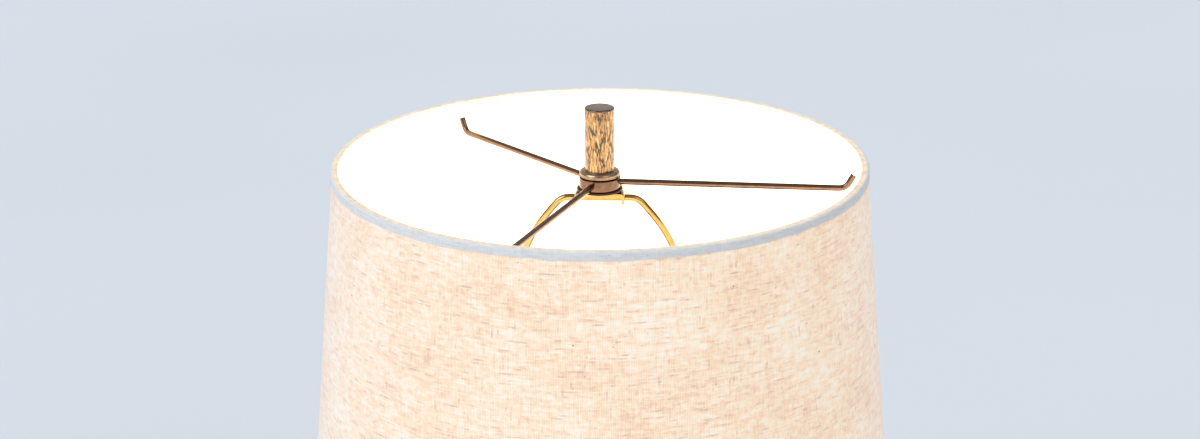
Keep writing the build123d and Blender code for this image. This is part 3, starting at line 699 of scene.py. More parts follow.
harp_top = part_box("harp_top_plate")[1].z
wire_top = harp_top - PLATE_T - HARP_WIRE / 2
corner = HARP_FLAT + HARP_TOP_RADIUS * math.tan(HARP_SHOULDER / 2)
half_loop = [
    (corner, wire_top),
    (HARP_HALF_WIDTH, wire_top - (HARP_HALF_WIDTH - corner) * math.tan(HARP_SHOULDER)),
    (HARP_HALF_WIDTH, wire_top - HARP_WAIST_DROP),
    (HARP_FOOT, saddle_z + HARP_KNEE_RISE),
    (HARP_FOOT, shoulder + PRONG),
]
bends = [HARP_KNEE_RADIUS, HARP_WAIST_RADIUS, HARP_SIDE_RADIUS, HARP_TOP_RADIUS]
loop = [on_harp(-x, z) for x, z in half_loop[::-1]] + [on_harp(x, z) for x, z in half_loop]
path = bent(loop, bends + bends[::-1], 12)
harp = swept(path, ACROSS_HARP, [wire_section(HARP_WIRE)] * len(path))
piece("harp_loop", harp, brass, "base", "brass", "harp_wire")

plate_z = harp_top - PLATE_T / 2
plate_low = harp_top - PLATE_T
tab_x = PLATE_HALF - TAB_T / 2
tab_low = plate_low - TAB_DROP
path = bent([
    on_harp(-tab_x, tab_low),
    on_harp(-tab_x, plate_z),
    on_harp(tab_x, plate_z),
    on_harp(tab_x, tab_low),
], [PLATE_BEND, PLATE_BEND])
tab_section = strip_section(PLATE_WIDTH, TAB_T)
plate_section = strip_section(PLATE_WIDTH, PLATE_T)
sections = [tab_section] * 2 + [plate_section] * (len(path) - 4) + [tab_section] * 2
plate = swept(path, ACROSS_HARP, sections)
notch_z = plate_low - TAB_DROP
notch_path = [on_harp(-2 * PLATE_HALF, notch_z), on_harp(2 * PLATE_HALF, notch_z)]
notch = swept(notch_path, ACROSS_HARP, [strip_section(TAB_NOTCH, 2 * TAB_DROP)] * 2)
piece("harp_plate", settled(carved(plate, notch), EASED), brass, "base", "brass", "harp_top_plate")
refinish("harp_stud", brass)


# LAMP SOCKET. A brass cap screwed to the pipe and a brass shell pressed into it, both drawn from
# sheet with a rolled bead, over a fibre liner and a black phenolic block with the screw shell.
SOCKET_SHEET = 0.8 * MM
CAP_NECK = 7.25 * MM
CAP_BORE = 5.03 * MM
CUP_HEIGHT = 11 * MM
SWITCH_RISE = 16 * MM
SWITCH_HOLE = 3.5 * MM
SCREW_PITCH = 3.6 * MM
SCREW_DEPTH = 0.3 * MM
SCREW_SHEET = 0.25 * MM
SCREW_PLAY = 0.05 * MM
LAYER = 0.8 * MM
FILLER = 1.2 * MM

socket_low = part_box("socket_cap")[0].z
shell_low, shell_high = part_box("socket_shell")
shell_r = shell_high.x
cup_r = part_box("socket_cap")[1].x
cup_floor = shell_low.z - SOCKET_SHEET
bead = 0.6 * MM
cap = turned(rounded([
    (CAP_BORE, socket_low, 0.3 * MM),
    (CAP_NECK, socket_low, 0.6 * MM),
    (CAP_NECK, cup_floor, 1.5 * MM),
    (cup_r - 4 * MM, cup_floor, 3 * MM),
    (cup_r, cup_floor + 3.2 * MM, 2 * MM),
    (cup_r, shell_low.z + CUP_HEIGHT, 0.3 * MM),
    (cup_r - SOCKET_SHEET, shell_low.z + CUP_HEIGHT, 0.3 * MM),
    (cup_r - SOCKET_SHEET, shell_low.z, 2 * MM),
    (CAP_BORE, shell_low.z, 0),
]), 96)
piece("socket_cap_pressing", cap, brass, "base", "brass", "socket_cap")


def shell_beads(angle, height, radius):
    """Two rolled beads that stiffen the shell."""
    rise = 0
    for level in (shell_low.z + CUP_HEIGHT + 3 * MM, shell_high.z - 3 * MM):
        rise += bead * math.exp(-((height - level) / (0.9 * MM)) ** 2)
    return rise


levels = [shell_low.z + (shell_high.z - shell_low.z) * i / 90 for i in range(91)]
wall = [(shell_r, level) for level in levels] + [(shell_r - SOCKET_SHEET, level) for level in levels[::-1]]
shell = turned(wall, 96, shell_beads)
switch_angle = HARP_TURN - math.pi / 2
switch_z = shell_low.z + SWITCH_RISE
outwards = Matrix.Rotation(switch_angle, 4, "Z") @ Matrix.Rotation(math.pi / 2, 4, "Y")
drill = turned([(0, 0), (SWITCH_HOLE, 0), (SWITCH_HOLE, 30 * MM), (0, 30 * MM)], 40)
drill = laid(drill, Matrix.Translation((0, 0, switch_z)) @ outwards)
piece("socket_shell_pressing", carved(shell, drill), brass, "base", "brass", "socket_shell")


def screwed(angle, height, radius):
    """The rolled thread of a screw shell or a bulb's cap, shallow enough for the bulb to turn freely."""
    return SCREW_DEPTH * math.sin(2 * math.pi * height / SCREW_PITCH - angle)


low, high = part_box("screw_shell")
levels = [low.z + (high.z - low.z) * i / 60 for i in range(61)]
thin = (high.x - low.x) / 2 - SCREW_DEPTH
wall = [(thin, level) for level in levels] + [(thin - SCREW_SHEET, level) for level in levels[::-1]]
piece("screw_shell_rolling", turned(wall, 96, screwed), brass, "base", "brass", "screw_shell")
refinish("centre_contact", brass)

# Vulcanised fibre: pressed paper, tan and matt, with its layers just showing.
fibre, tree, shader, place = finish("vulcanised_fibre")
pressed = grained(tree, place, LAYER, 4.0, "8f7551", "b0976e", bump=(0.3, 0.1 * MM))
plug(tree, shader, {**pressed, "Roughness": 0.8})
refinish("socket_liner", fibre)

# Moulded phenolic: a deep brown-black gloss, slightly mottled by its wood-flour filler.
phenolic, tree, shader, place = finish("moulded_phenolic")
filled = grained(tree, place, FILLER, 4.0, "120d0b", "211916", (0.22, 0.36), places=(0.35, 0.7))
plug(tree, shader, {**filled, "IOR": 1.6})
refinish("insulator", phenolic)


# SWITCH KNOB. A fluted phenolic knob, moulded and pushed on the flat of the switch's shaft.
# It is turned between finger and thumb, so its flutes are deep and its end is domed.
KNOB_R = 5.5 * MM
KNOB_LENGTH = 13 * MM
KNOB_START = 19.5 * MM
KNOB_FLUTES = 6
FLUTE_DEPTH = 1.1 * MM


def fluted(angle, height, radius):
    """Finger flutes along the knob."""
    wave = 0.5 + 0.5 * math.cos(KNOB_FLUTES * angle)
    return -FLUTE_DEPTH * wave ** 6 * (radius > KNOB_R * 0.8)


knob = turned(rounded([
    (1.6 * MM, 0, 0),
    (KNOB_R, 0, 0.5 * MM),
    (KNOB_R, KNOB_LENGTH, 1.4 * MM),
    (0, KNOB_LENGTH, 0),
    (0, KNOB_LENGTH / 2, 0),
    (1.6 * MM, KNOB_LENGTH / 2, 0),
]), 144, fluted)
seat = Matrix.Translation((0, 0, switch_z)) @ outwards @ Matrix.Translation((0, 0, KNOB_START))
piece("switch_knob_moulding", laid(knob, seat), phenolic, "switch", "phenolic", "switch_knob")


# BULB. A pear-shaped glass with a white coating inside, cemented into a rolled brass screw cap.
# It is lit, so the coated glass glows evenly.
GLASS_BALL = 30 * MM
GLASS_NECK = 13 * MM
NECK_PULL = 16 * MM
BALL_PULL = 26 * MM
BULB_GLOW_HEX = "fff0d8"
BULB_GLOW = 4.0
COATING_PATCH = 6 * MM

# Glass coated inside with white powder: smooth outside, and lit evenly from within.
frosted, tree, shader, place = finish("coated_lamp_glass")
coating = add(tree, "TexNoise", {"Vector": place, "Scale": 1 / COATING_PATCH, "Detail": 2.0})
tone = add(tree, "ValToRGB", {"Fac": coating}, [(0.3, "f4f0e8"), (0.7, "fffdf8")])
glow = add(tree, "ValToRGB", {"Fac": coating}, [(0.2, "ffe9c8"), (0.8, BULB_GLOW_HEX)])
plug(tree, shader, {"Base Color": tone, "Emission Color": glow, "Emission Strength": BULB_GLOW})
plug(tree, shader, {"Roughness": 0.18, "IOR": 1.5})

low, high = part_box("bulb_glass")
ball_z = high.z - GLASS_BALL
glass = [(0, low.z), (GLASS_NECK, low.z)]
waist = [
    Vector((GLASS_NECK, low.z)),
    Vector((GLASS_NECK, low.z + NECK_PULL)),
    Vector((GLASS_BALL, ball_z - BALL_PULL)),
    Vector((GLASS_BALL, ball_z)),
]
for i in range(1, 20):
    t = i / 20
    a, b, c, d = ((1 - t) ** 3, 3 * t * (1 - t) ** 2, 3 * t * t * (1 - t), t ** 3)
    glass.append(tuple(a * waist[0] + b * waist[1] + c * waist[2] + d * waist[3]))
for i in range(17):
    swing = math.pi / 2 * i / 16
    glass.append((GLASS_BALL * math.cos(swing), ball_z + GLASS_BALL * math.sin(swing)))
piece("bulb_envelope", turned(glass, 96), frosted, "bulb", "frosted_glass", "bulb_glass")

low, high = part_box("bulb_cap")
cap_r = high.x - SCREW_DEPTH - SCREW_PLAY
tip_r = 4.5 * MM
levels = [low.z + 5 * MM + (high.z - low.z - 8 * MM) * i / 50 for i in range(51)]
cap_wall = [(0, low.z), (tip_r, low.z), (tip_r, low.z + 1.4 * MM), (cap_r * 0.75, low.z + 3 * MM)]
cap_wall += [(cap_r, level) for level in levels]
cap_wall += [(high.x, high.z - 1.5 * MM), (high.x, high.z), (0, high.z)]


def cap_thread(angle, height, radius):
    """The thread stops short of the cap's rim and of its tip."""
    return screwed(angle, height, radius) * (levels[0] <= height <= levels[-1])


piece("bulb_cap_rolling", turned(cap_wall, 96, cap_thread), brass, "bulb", "brass", "bulb_cap")


# SHADE. Natural linen bonded to a stiff white lining, rolled into a tapered drum and lapped at
# the back. The yarns are uneven: fine upright warps, level slubs a few centimetres long, and a
# few dark flecks of stalk. The lit bulb shines through, so the cloth glows a warm cream.
SHADE_TOP_R = 177.8 * MM
SHADE_BOTTOM_R = 203.2 * MM
TAPE = 0.8 * MM
LINEN_T = 0.75 * MM
LINING_T = 0.8 * MM
GLUE_T = 0.05 * MM
RIPPLE = 0.25 * MM
LAP = 11 * MM
LAP_RISE = 0.6 * MM
YARN_PITCH = 1.05 * MM
YARN_SHIFT = 1.37
YARN_SWAY = 2 * MM
SWAY_REACH = 30 * MM
WEFT_SLUB = 17 * MM
WARP_SLUB = 17 * MM
BLOTCH_WIDTH = 7 * MM
BLOTCH_HEIGHT = 3.5 * MM
CLOTH_CLOUD = 45 * MM
LINEN_TONES = ((0.08, "eccfbc"), (0.9, "fffffa"), (0.28, "fbdfc6"), (0.5, "ffecd4"), (0.7, "fff7e8"))
SLUB_HEX = "c4b0b4"
FLECK_HEX = "a8857a"
UNLIT_HEX = "aaaaad"
LIT_HEX = "fff3e0"
SEAM_SHADOW_HEX = "8a6a50"
FLECK_CELL = 8 * MM
FLECK_EDGE = 20.0
SEAM_SHADE = 0.35
SHEEN_HEX = "e8f0ff"
LINEN_GLOW = 0.6
LINING_GLOW = 0.75
LINING_GLOW_AT_BULB = 1.7
PULP = 4 * MM
BULB_GLOW_REACH = 150 * MM

shade_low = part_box("bottom_trim")[0].z
shade_slope = (SHADE_BOTTOM_R - SHADE_TOP_R) / (shade_top - shade_low)
mean_radius = (SHADE_TOP_R + SHADE_BOTTOM_R) / 2


def shade_radius(height, inset):
    """Radius of the shade at a height, measured in from its outer face."""
    return SHADE_BOTTOM_R - (height - shade_low) * shade_slope - inset * math.hypot(1, shade_slope)


def hand_rolled(angle, height, radius):
    """The slight ripple of a hand-rolled drum."""
    return RIPPLE * (math.sin(3 * angle + 0.6) + 0.6 * math.sin(7 * angle + 9 * height)) / 1.6


def lapped(angle, height, radius):
    """The ripple, and the step where one edge of the linen laps over the other at the back."""
    past = (angle - math.pi / 2) * mean_radius
    outside = radius > shade_radius(height, TAPE + LINEN_T / 2)
    return hand_rolled(angle, height, radius) + LAP_RISE * (0 <= past <= LAP and outside)


def drum_wall(outer_inset, inner_inset, rows=14):
    """The closed profile of one layer of the shade."""
    low, high = shade_low + TAPE, shade_top - TAPE
    levels = [low + (high - low) * i / rows for i in range(rows + 1)]
    outside = [(shade_radius(level, outer_inset), level) for level in levels]
    return outside + [(shade_radius(level, inner_inset), level) for level in levels[::-1]]


# Natural linen, lit from behind: cream cloth with a comb of uneven yarns, warm blotches where it is
# thick, and mauve-grey slubs and brown flecks of stalk, which let no light through.
linen, tree, shader, place = finish("natural_linen")
axes = add(tree, "SeparateXYZ", {0: place}).outputs
behind = add(tree, "Math", {0: axes["Y"], 1: -1.0}, operation="MULTIPLY")
around = add(tree, "Math", {0: axes["X"], 1: behind}, operation="ARCTAN2")
# Real yarns lie about 0.7 mm apart; they are drawn coarser here, because finer ones would blur away.
sway = add(tree, "TexNoise", {"Vector": place, "Scale": 1 / SWAY_REACH, "Detail": 1.0})


def yarns(tree, across, along_x, along_y, sway, length):
    """Each yarn's own thick and thin places; across is the distance over the yarns, in metres."""
    swayed = add(tree, "Math", {0: sway, 1: YARN_SWAY, 2: across}, operation="MULTIPLY_ADD")
    count = add(tree, "Math", {0: swayed, 1: YARN_PITCH}, operation="SNAP")
    count = add(tree, "Math", {0: count, 1: YARN_SHIFT / YARN_PITCH}, operation="MULTIPLY")
    x, y = [add(tree, "Math", {0: way, 1: 1 / length}, operation="MULTIPLY") for way in (along_x, along_y)]
    spot = add(tree, "CombineXYZ", {0: x, 1: y, 2: count})
    thick = add(tree, "TexNoise", {"Vector": spot, "Scale": 1.0, "Detail": 3.5, "Roughness": 0.7})
    return thick, swayed


def round_yarns(tree, swayed):
    """The rounded backs of yarns that lie side by side, from 0 to 1."""
    turn = add(tree, "Math", {0: swayed, 1: math.pi / YARN_PITCH}, operation="MULTIPLY")
    wave = add(tree, "Math", {0: turn}, operation="SINE")
    return add(tree, "Math", {0: wave}, operation="ABSOLUTE")


arc = add(tree, "Math", {0: around, 1: mean_radius}, operation="MULTIPLY")
wefts, weft_place = yarns(tree, axes["Z"], axes["X"], axes["Y"], sway, WEFT_SLUB)
warps, warp_place = yarns(tree, arc, axes["Z"], axes["Z"], sway, WARP_SLUB)
wide = (1 / BLOTCH_WIDTH, 1 / BLOTCH_WIDTH, 1 / BLOTCH_HEIGHT)
stretched = add(tree, "VectorMath", {0: place, 1: wide}, operation="MULTIPLY")
blotches = add(tree, "TexNoise", {"Vector": stretched, "Scale": 1.0, "Detail": 3.0, "Roughness": 0.65})
clouds = add(tree, "TexNoise", {"Vector": place, "Scale": 1 / CLOTH_CLOUD, "Detail": 1.0})
weft_back = round_yarns(tree, weft_place)
warp_back = round_yarns(tree, warp_place)
yarn = 0.0
shares = ((blotches, 0.75), (wefts, 0.6), (warps, 0.6), (clouds, 0.35), (weft_back, 0.08), (warp_back, 0.22))
for pattern, share in shares:
    yarn = add(tree, "Math", {0: pattern, 1: share, 2: yarn}, operation="MULTIPLY_ADD")
yarn = add(tree, "MapRange", {"Value": yarn, "From Min": 1.03, "From Max": 1.64})
cloth = add(tree, "ValToRGB", {"Fac": yarn}, LINEN_TONES)
thick_weft = add(tree, "MapRange", {"Value": wefts, "From Min": 0.41, "From Max": 0.25})
thick_warp = add(tree, "MapRange", {"Value": warps, "From Min": 0.38, "From Max": 0.24})
slub = add(tree, "Math", {0: thick_weft, 1: thick_warp}, operation="MAXIMUM")
# A thick yarn dips under its neighbours, so a slub shows as a row of beads.
bead = add(tree, "Math", {0: weft_back, 1: warp_back}, operation="MULTIPLY")
bead = add(tree, "MapRange", {"Value": bead, "From Max": 0.6, "To Min": 0.12, "To Max": 0.85})
slub = add(tree, "Math", {0: slub, 1: bead}, operation="MULTIPLY")
cloth = add(tree, "MixRGB", {"Fac": slub, "Color1": cloth, "Color2": linear(SLUB_HEX)})
cells = add(tree, "TexVoronoi", {"Vector": place, "Scale": 1 / FLECK_CELL})
chosen = add(tree, "SeparateColor", {0: cells.outputs["Color"]}).outputs["Red"]
size = add(tree, "MapRange", {"Value": chosen, "From Min": 0.5, "To Min": 0.0, "To Max": 0.1})
fleck = add(tree, "Math", {0: size, 1: cells}, operation="SUBTRACT")
fleck = add(tree, "Math", {0: fleck, 1: FLECK_EDGE}, operation="MULTIPLY", use_clamp=True)
cloth = add(tree, "MixRGB", {"Fac": fleck, "Color1": cloth, "Color2": linear(FLECK_HEX)})
# Painted light: the cloth's colours are darkened for the base colour, and a paler copy is painted on as a
# glow that stands in for the bulb's light through the cloth.
unlit, lit = [
    add(tree, "MixRGB", {"Fac": 1.0, "Color1": cloth, "Color2": linear(code)}, blend_type="MULTIPLY")
    for code in (UNLIT_HEX, LIT_HEX)
]
# Painted shade: at the lap at the back, where two layers let less light through, the glow is painted darker
# in a strip.
seam_shadow = add(tree, "Math", {0: around}, operation="ABSOLUTE")
seam_shadow = add(tree, "Math", {0: seam_shadow, 1: math.pi - LAP / mean_radius}, operation="GREATER_THAN")
behind_seam = add(tree, "Math", {0: around, 1: 0.0}, operation="GREATER_THAN")
seam_shadow = add(tree, "Math", {0: seam_shadow, 1: behind_seam}, operation="MULTIPLY")
seam_shadow = add(tree, "Math", {0: seam_shadow, 1: SEAM_SHADE}, operation="MULTIPLY")
lit = add(tree, "MixRGB", {"Fac": seam_shadow, "Color1": lit, "Color2": linear(SEAM_SHADOW_HEX)})
relief = add(tree, "Bump", {"Height": yarn, "Strength": 0.4, "Distance": 0.3 * MM})
plug(tree, shader, {"Base Color": unlit, "Emission Color": lit, "Emission Strength": LINEN_GLOW})
plug(tree, shader, {"Normal": relief, "Roughness": 0.9})
plug(tree, shader, {"Sheen Weight": 0.5, "Sheen Tint": linear(SHEEN_HEX)})

# White styrene lining: smooth and matt. The bulb's light on it is painted as a glow, brightest at the height
# of the bulb.
lining, tree, shader, place = finish("white_lining")
pulp = add(tree, "TexNoise", {"Vector": place, "Scale": 1 / PULP, "Detail": 3.0})
tone = add(tree, "ValToRGB", {"Fac": pulp}, [(0.3, "efece6"), (0.7, "fbf9f5")])
glow = add(tree, "ValToRGB", {"Fac": pulp}, [(0.3, "ffdfb8"), (0.7, "ffe3c2")])
level = add(tree, "SeparateXYZ", {0: place}).outputs["Z"]
away = add(tree, "Math", {0: level, 1: ball_z}, operation="SUBTRACT")
away = add(tree, "Math", {0: away}, operation="ABSOLUTE")
glow_range = {"To Min": LINING_GLOW_AT_BULB, "To Max": LINING_GLOW}
painted_bulb_light = add(tree, "MapRange", {"Value": away, "From Max": BULB_GLOW_REACH, **glow_range})
plug(tree, shader, {"Base Color": tone, "Emission Color": glow, "Emission Strength": painted_bulb_light, "Roughness": 0.8})

outside = turned(drum_wall(TAPE, TAPE + LINEN_T), 360, lapped)
cover = piece("linen_cover", outside, linen, "shade", "linen", "shade_panel")
inside = turned(drum_wall(TAPE + LINEN_T + GLUE_T, TAPE + LINEN_T + LINING_T), 360, hand_rolled)
piece("stiff_lining", inside, lining, "shade", "linen", "shade_panel")


# TRIMS AND RINGS. A wire ring stiffens each edge of the drum, and a grey-blue linen tape is folded
# over the edge and the ring and glued. It is opaque, so it stays dark against the lit cloth, and its
# hems wander a little, as hand work does.
TAPE_HEM = 5.9 * MM
TAPE_T = 0.45 * MM
RING_WIRE = 3.6 * MM
PANEL_T = 1.6 * MM
HEM_WANDER = 0.35 * MM
LACQUER_RUN = 2 * MM
TAPE_SLUB = 9 * MM
TAPE_TONES = ((0.05, "b9b6b2"), (0.9, "dcdddb"), (0.25, "c9c9c8"), (0.6, "d4d5d3"))
TAPE_FLECK_HEX = "77675c"
THROUGH_TAPE_HEX = "ffe0c2"
MOTTLE = 5 * MM
HEM_GLOW = 0.45
GLOW_FROM = 0.3 * MM
GLOW_REACH = 2.4 * MM
ROLL_GLOW = 1.3
ROLL_FROM = 4.3 * MM
ROLL_REACH = 5.3 * MM

# Grey-blue linen tape: a fine even weave that blocks the light, with a few stalk flecks.
tape, tree, shader, place = finish("linen_tape")
axes = add(tree, "SeparateXYZ", {0: place}).outputs
around = add(tree, "Math", {0: axes["X"], 1: axes["Y"]}, operation="ARCTAN2")
arc = add(tree, "Math", {0: around, 1: mean_radius}, operation="MULTIPLY")
sway = add(tree, "TexNoise", {"Vector": place, "Scale": 1 / SWAY_REACH, "Detail": 1.0})
wefts, weft_place = yarns(tree, axes["Z"], axes["X"], axes["Y"], sway, TAPE_SLUB)
warps, warp_place = yarns(tree, arc, axes["Z"], axes["Z"], sway, WARP_SLUB)
yarn = add(tree, "Math", {0: warps, 1: 0.35, 2: wefts}, operation="MULTIPLY_ADD")
weft_back = round_yarns(tree, weft_place)
ridges = add(tree, "Math", {0: weft_back, 1: round_yarns(tree, warp_place)}, operation="ADD")
yarn = add(tree, "Math", {0: ridges, 1: 0.08, 2: yarn}, operation="MULTIPLY_ADD")
tone = add(tree, "MapRange", {"Value": yarn, "From Min": 0.4, "From Max": 1.05})
tone = add(tree, "ValToRGB", {"Fac": tone}, TAPE_TONES)
cells = add(tree, "TexVoronoi", {"Vector": place, "Scale": 1 / FLECK_CELL})
fleck = add(tree, "Math", {0: cells, 1: 0.06}, operation="LESS_THAN")
fleck = add(tree, "Math", {0: fleck, 1: 0.4}, operation="MULTIPLY")
tone = add(tree, "MixRGB", {"Fac": fleck, "Color1": tone, "Color2": linear(TAPE_FLECK_HEX)})
relief = add(tree, "Bump", {"Height": yarn, "Strength": 0.4, "Distance": 0.25 * MM})
# Painted light: the lamp's light on the tape, from the fold inwards where only the ring is behind it, is
# painted on as an uneven glow, strongest on the inside of the roll.
reach = add(tree, "Math", {0: axes["X"], 1: 2.0}, operation="POWER")
reach = add(tree, "Math", {0: axes["Y"], 1: axes["Y"], 2: reach}, operation="MULTIPLY_ADD")
reach = add(tree, "Math", {0: reach}, operation="SQRT")
reach = add(tree, "Math", {0: axes["Z"], 1: shade_slope, 2: reach}, operation="MULTIPLY_ADD")
face = SHADE_BOTTOM_R + shade_low * shade_slope
inner, rolled, cast = [
    add(tree, "MapRange", {"Value": reach, "From Min": face - start, "From Max": face - end, "To Max": most})
    for start, end, most in (
        (GLOW_FROM, GLOW_REACH, HEM_GLOW), (ROLL_FROM, ROLL_REACH, ROLL_GLOW), (GLOW_FROM, ROLL_REACH, 1.0),
    )
]
mottle = add(tree, "TexNoise", {"Vector": place, "Scale": 1 / MOTTLE, "Detail": 2.0})
uneven = {"From Min": 0.35, "From Max": 0.65, "To Min": 0.7, "To Max": 1.3}
mottle = add(tree, "MapRange", {"Value": mottle, **uneven})
inner = add(tree, "Math", {0: inner, 1: mottle, 2: rolled}, operation="MULTIPLY_ADD")
shone = linear(THROUGH_TAPE_HEX)
glow = add(tree, "MixRGB", {"Fac": 1.0, "Color1": tone, "Color2": shone}, blend_type="MULTIPLY")
# Painted light: toward the fold the tape's own colour is painted warmer and darker, as if lit from inside
# the shade.
cast = add(tree, "ValToRGB", {"Fac": cast}, [(0.0, "ffffff"), (1.0, "e6d4ba"), (0.35, "ffedd3")])
tone_warmed_by_painted_light = add(tree, "MixRGB", {"Fac": 1.0, "Color1": tone, "Color2": cast}, blend_type="MULTIPLY")
plug(tree, shader, {
    "Emission Color": glow,
    "Emission Strength": inner,
    "Base Color": tone_warmed_by_painted_light,
    "Normal": relief,
    "Roughness": 0.9,
    "Sheen Weight": 0.2,
})

# White lacquer dipped on wire: glossy and slightly uneven, where it shows between tape and lining.
ring_lacquer, tree, shader, place = finish("white_lacquered_wire")
dipped = grained(tree, place, LACQUER_RUN, 2.0, "dcdad4", "ebe9e4")
plug(tree, shader, {**dipped, "Roughness": 0.35})


def folded_tape(edge, inward):
    """The profile of the tape over one edge; inward is -1 at the top and 1 at the bottom."""
    ring = TAPE + PANEL_T + RING_WIRE / 2
    ring_depth = TAPE + RING_WIRE / 2
    roll = RING_WIRE / 2 + TAPE_T
    rise = ring_depth - roll
    outside = rounded([(0.0, TAPE_HEM, 0), (0.0, rise, 1.6 * MM), (ring, rise, 0)], 6)[1:-1]
    turns = [math.pi / 2 - (math.pi * 0.78) * step / 14 for step in range(15)]
    outside += [(ring + roll * math.cos(turn), ring_depth - roll * math.sin(turn)) for turn in turns]
    outside = [(0.0, TAPE_HEM)] + outside + [(TAPE + PANEL_T + TAPE_T, TAPE_HEM)]
    inside = [
        (TAPE + PANEL_T, TAPE_HEM),
        (TAPE + PANEL_T, ring_depth),
        (ring, rise + TAPE_T),
        (TAPE, TAPE - 0.1 * MM),
        (TAPE, TAPE_HEM),
    ]
    return [
        (shade_radius(edge + inward * depth, inset), edge + inward * depth)
        for inset, depth in outside + inside
    ]


def taped(edge, inward, phase):
    """One tape, with its hems wandering and its face slightly lumpy over the ring."""
    mesh = turned(folded_tape(edge, inward), 420, hand_rolled)
    for vertex in mesh.vertices:
        angle = math.atan2(vertex.co.y, vertex.co.x)
        depth = abs(vertex.co.z - edge)
        waves = math.sin(11 * angle + phase) + 0.7 * math.sin(29 * angle + 2 * phase)
        waves += 0.5 * math.sin(67 * angle)
        inside = math.hypot(vertex.co.x, vertex.co.y) < shade_radius(vertex.co.z, 4 * MM)
        reach = HEM_WANDER * (1.6 if inside else 1.0) * waves / 2
        if depth > 3.5 * MM:
            vertex.co.z += inward * reach
    return mesh


for node, name, edge, inward, phase, radius in (
    ("top_trim", "top_tape", shade_top, -1, 0.4, SHADE_TOP_R),
    ("bottom_trim", "bottom_tape", shade_low, 1, 2.1, SHADE_BOTTOM_R),
):
    made = piece(name, taped(edge, inward, phase), tape, "shade", "trim_tape", node)

for node, name, edge, inward in (
    ("top_ring", "top_ring_wire", shade_top, -1),
    ("bottom_ring", "bottom_ring_wire", shade_low, 1),
):
    height = edge + inward * (TAPE + RING_WIRE / 2)
    centre = shade_radius(height, TAPE + PANEL_T + RING_WIRE / 2)
    section = [(centre + a, height + b) for a, b in wire_section(RING_WIRE - 0.2 * MM, 12)]
    piece(name, turned(section, 180), ring_lacquer, "shade", "ring_wire", node)


# SPIDER. Three bent wires, staked in a turned hub and welded to the top ring, all of brass that
# has been oxidised to a dark brown. It mirrors the lit lining from below as a warm tan edge. White
# lining strip is wrapped round the welded ends and carries the lining's painted glow, which stands in
# for the bright reflection of the lit lining at the arms' ends.
ARM_WIRE = 4.2 * MM
ARM_AZIMUTHS = (0.0, 126.0, 245.5)
ARM_RISE = 3.9 * MM
ARM_FALL = 5.6 * MM
ARM_LEG = math.radians(61)
ARM_BEND = 7 * MM
ARM_START = 11 * MM
ARM_PAST = 1.5 * MM
WRAP_LENGTH = 9.5 * MM
WRAP_T = 0.5 * MM
TARNISH_CLOUD = 5 * MM
PORE = 0.8 * MM
HUB_HOLE = 5.25 * MM
SEAT_R = 15.2 * MM
SEAT_HOLE = 7.4 * MM
SEAT_T = 1.3 * MM


def oxidised(name, dark, pale):
    """Brass oxidised to between these two browns and lacquered, so it still mirrors what is near."""
    made, tree, shader, place = finish(name)
    pores = add(tree, "TexNoise", {"Vector": place, "Scale": 1 / PORE, "Detail": 2.0})
    browned = grained(tree, place, TARNISH_CLOUD, 4.0, dark, pale, (0.1, 0.2), (0.1, 0.05 * MM), pores)
    plug(tree, shader, {**browned, "Metallic": 1.0})
    return made


antique = oxidised("oxidised_brass", "705c50", "836c5e")
antique_hub = oxidised("oxidised_brass_hub", "5c4b41", "6c594e")

hub_low, hub_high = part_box("spider_hub")
hub_r = hub_high.x
hub = turned(rounded([
    (HUB_HOLE, hub_low.z, 0.3 * MM),
    (hub_r, hub_low.z, 0.5 * MM),
    (hub_r, hub_high.z, 0.5 * MM),
    (HUB_HOLE, hub_high.z, 0.3 * MM),
]), 96)
piece("hub_turning", hub, antique_hub, "shade", "antique_brass", "spider_hub")

# A dark washer under the hub gives the dark band below it; part of that band is shade in the gap, painted
# here as a dark part.
seat_z = hub_low.z - SEAT_T
seat = turned(rounded([
    (SEAT_HOLE, seat_z, 0),
    (SEAT_R, seat_z, 0.3 * MM),
    (SEAT_R, hub_low.z, 0.3 * MM),
    (SEAT_HOLE, hub_low.z, 0),
]), 72)
piece("hub_washer_and_gap_shade", seat, dark_lacquer, "shade", "dark_bronze")

arm_z = hub_low.z + ARM_RISE
ring_z = shade_top - TAPE - RING_WIRE
end_r = shade_radius(ring_z, TAPE + PANEL_T) - ARM_WIRE / 2 / math.sin(ARM_LEG) - 0.3 * MM
knee_r = end_r - (ring_z - arm_z + ARM_FALL) / math.tan(ARM_LEG)
arms = bmesh.new()
wraps = bmesh.new()
for azimuth in ARM_AZIMUTHS:
    way = Vector((math.cos(math.radians(azimuth)), math.sin(math.radians(azimuth)), 0))
    up = Vector((0, 0, 1))
    leg = way * math.cos(ARM_LEG) + up * math.sin(ARM_LEG)
    leg_end = way * end_r + up * ring_z + leg * ARM_PAST
    knee = way * knee_r + up * (arm_z - ARM_FALL)
    path = bent([way * ARM_START + up * arm_z, knee, leg_end], [ARM_BEND], 12)
    arm = swept(path, up.cross(way), [wire_section(ARM_WIRE)] * len(path))
    arms.from_mesh(arm)
    steps = ((0.0, 0.2), (0.08, 0.9), (0.45, 1.0), (0.8, 1.3), (1.0, 1.5))
    path = [leg_end - leg * WRAP_LENGTH * (1 - share) for share, _ in steps]
    sections = [wire_section(ARM_WIRE + 2 * WRAP_T * thick) for _, thick in steps]
    wraps.from_mesh(swept(path, up.cross(way), sections))
for name, shapes, material, slot, nodes in (
    ("spider_wires", arms, antique, "antique_brass", ["spider_arms"]),
    ("arm_end_wraps", wraps, lining, "linen", []),
):
    mesh = bpy.data.meshes.new(name)
    shapes.to_mesh(mesh)
    shapes.free()
    piece(name, mesh, material, "shade", slot, *nodes)


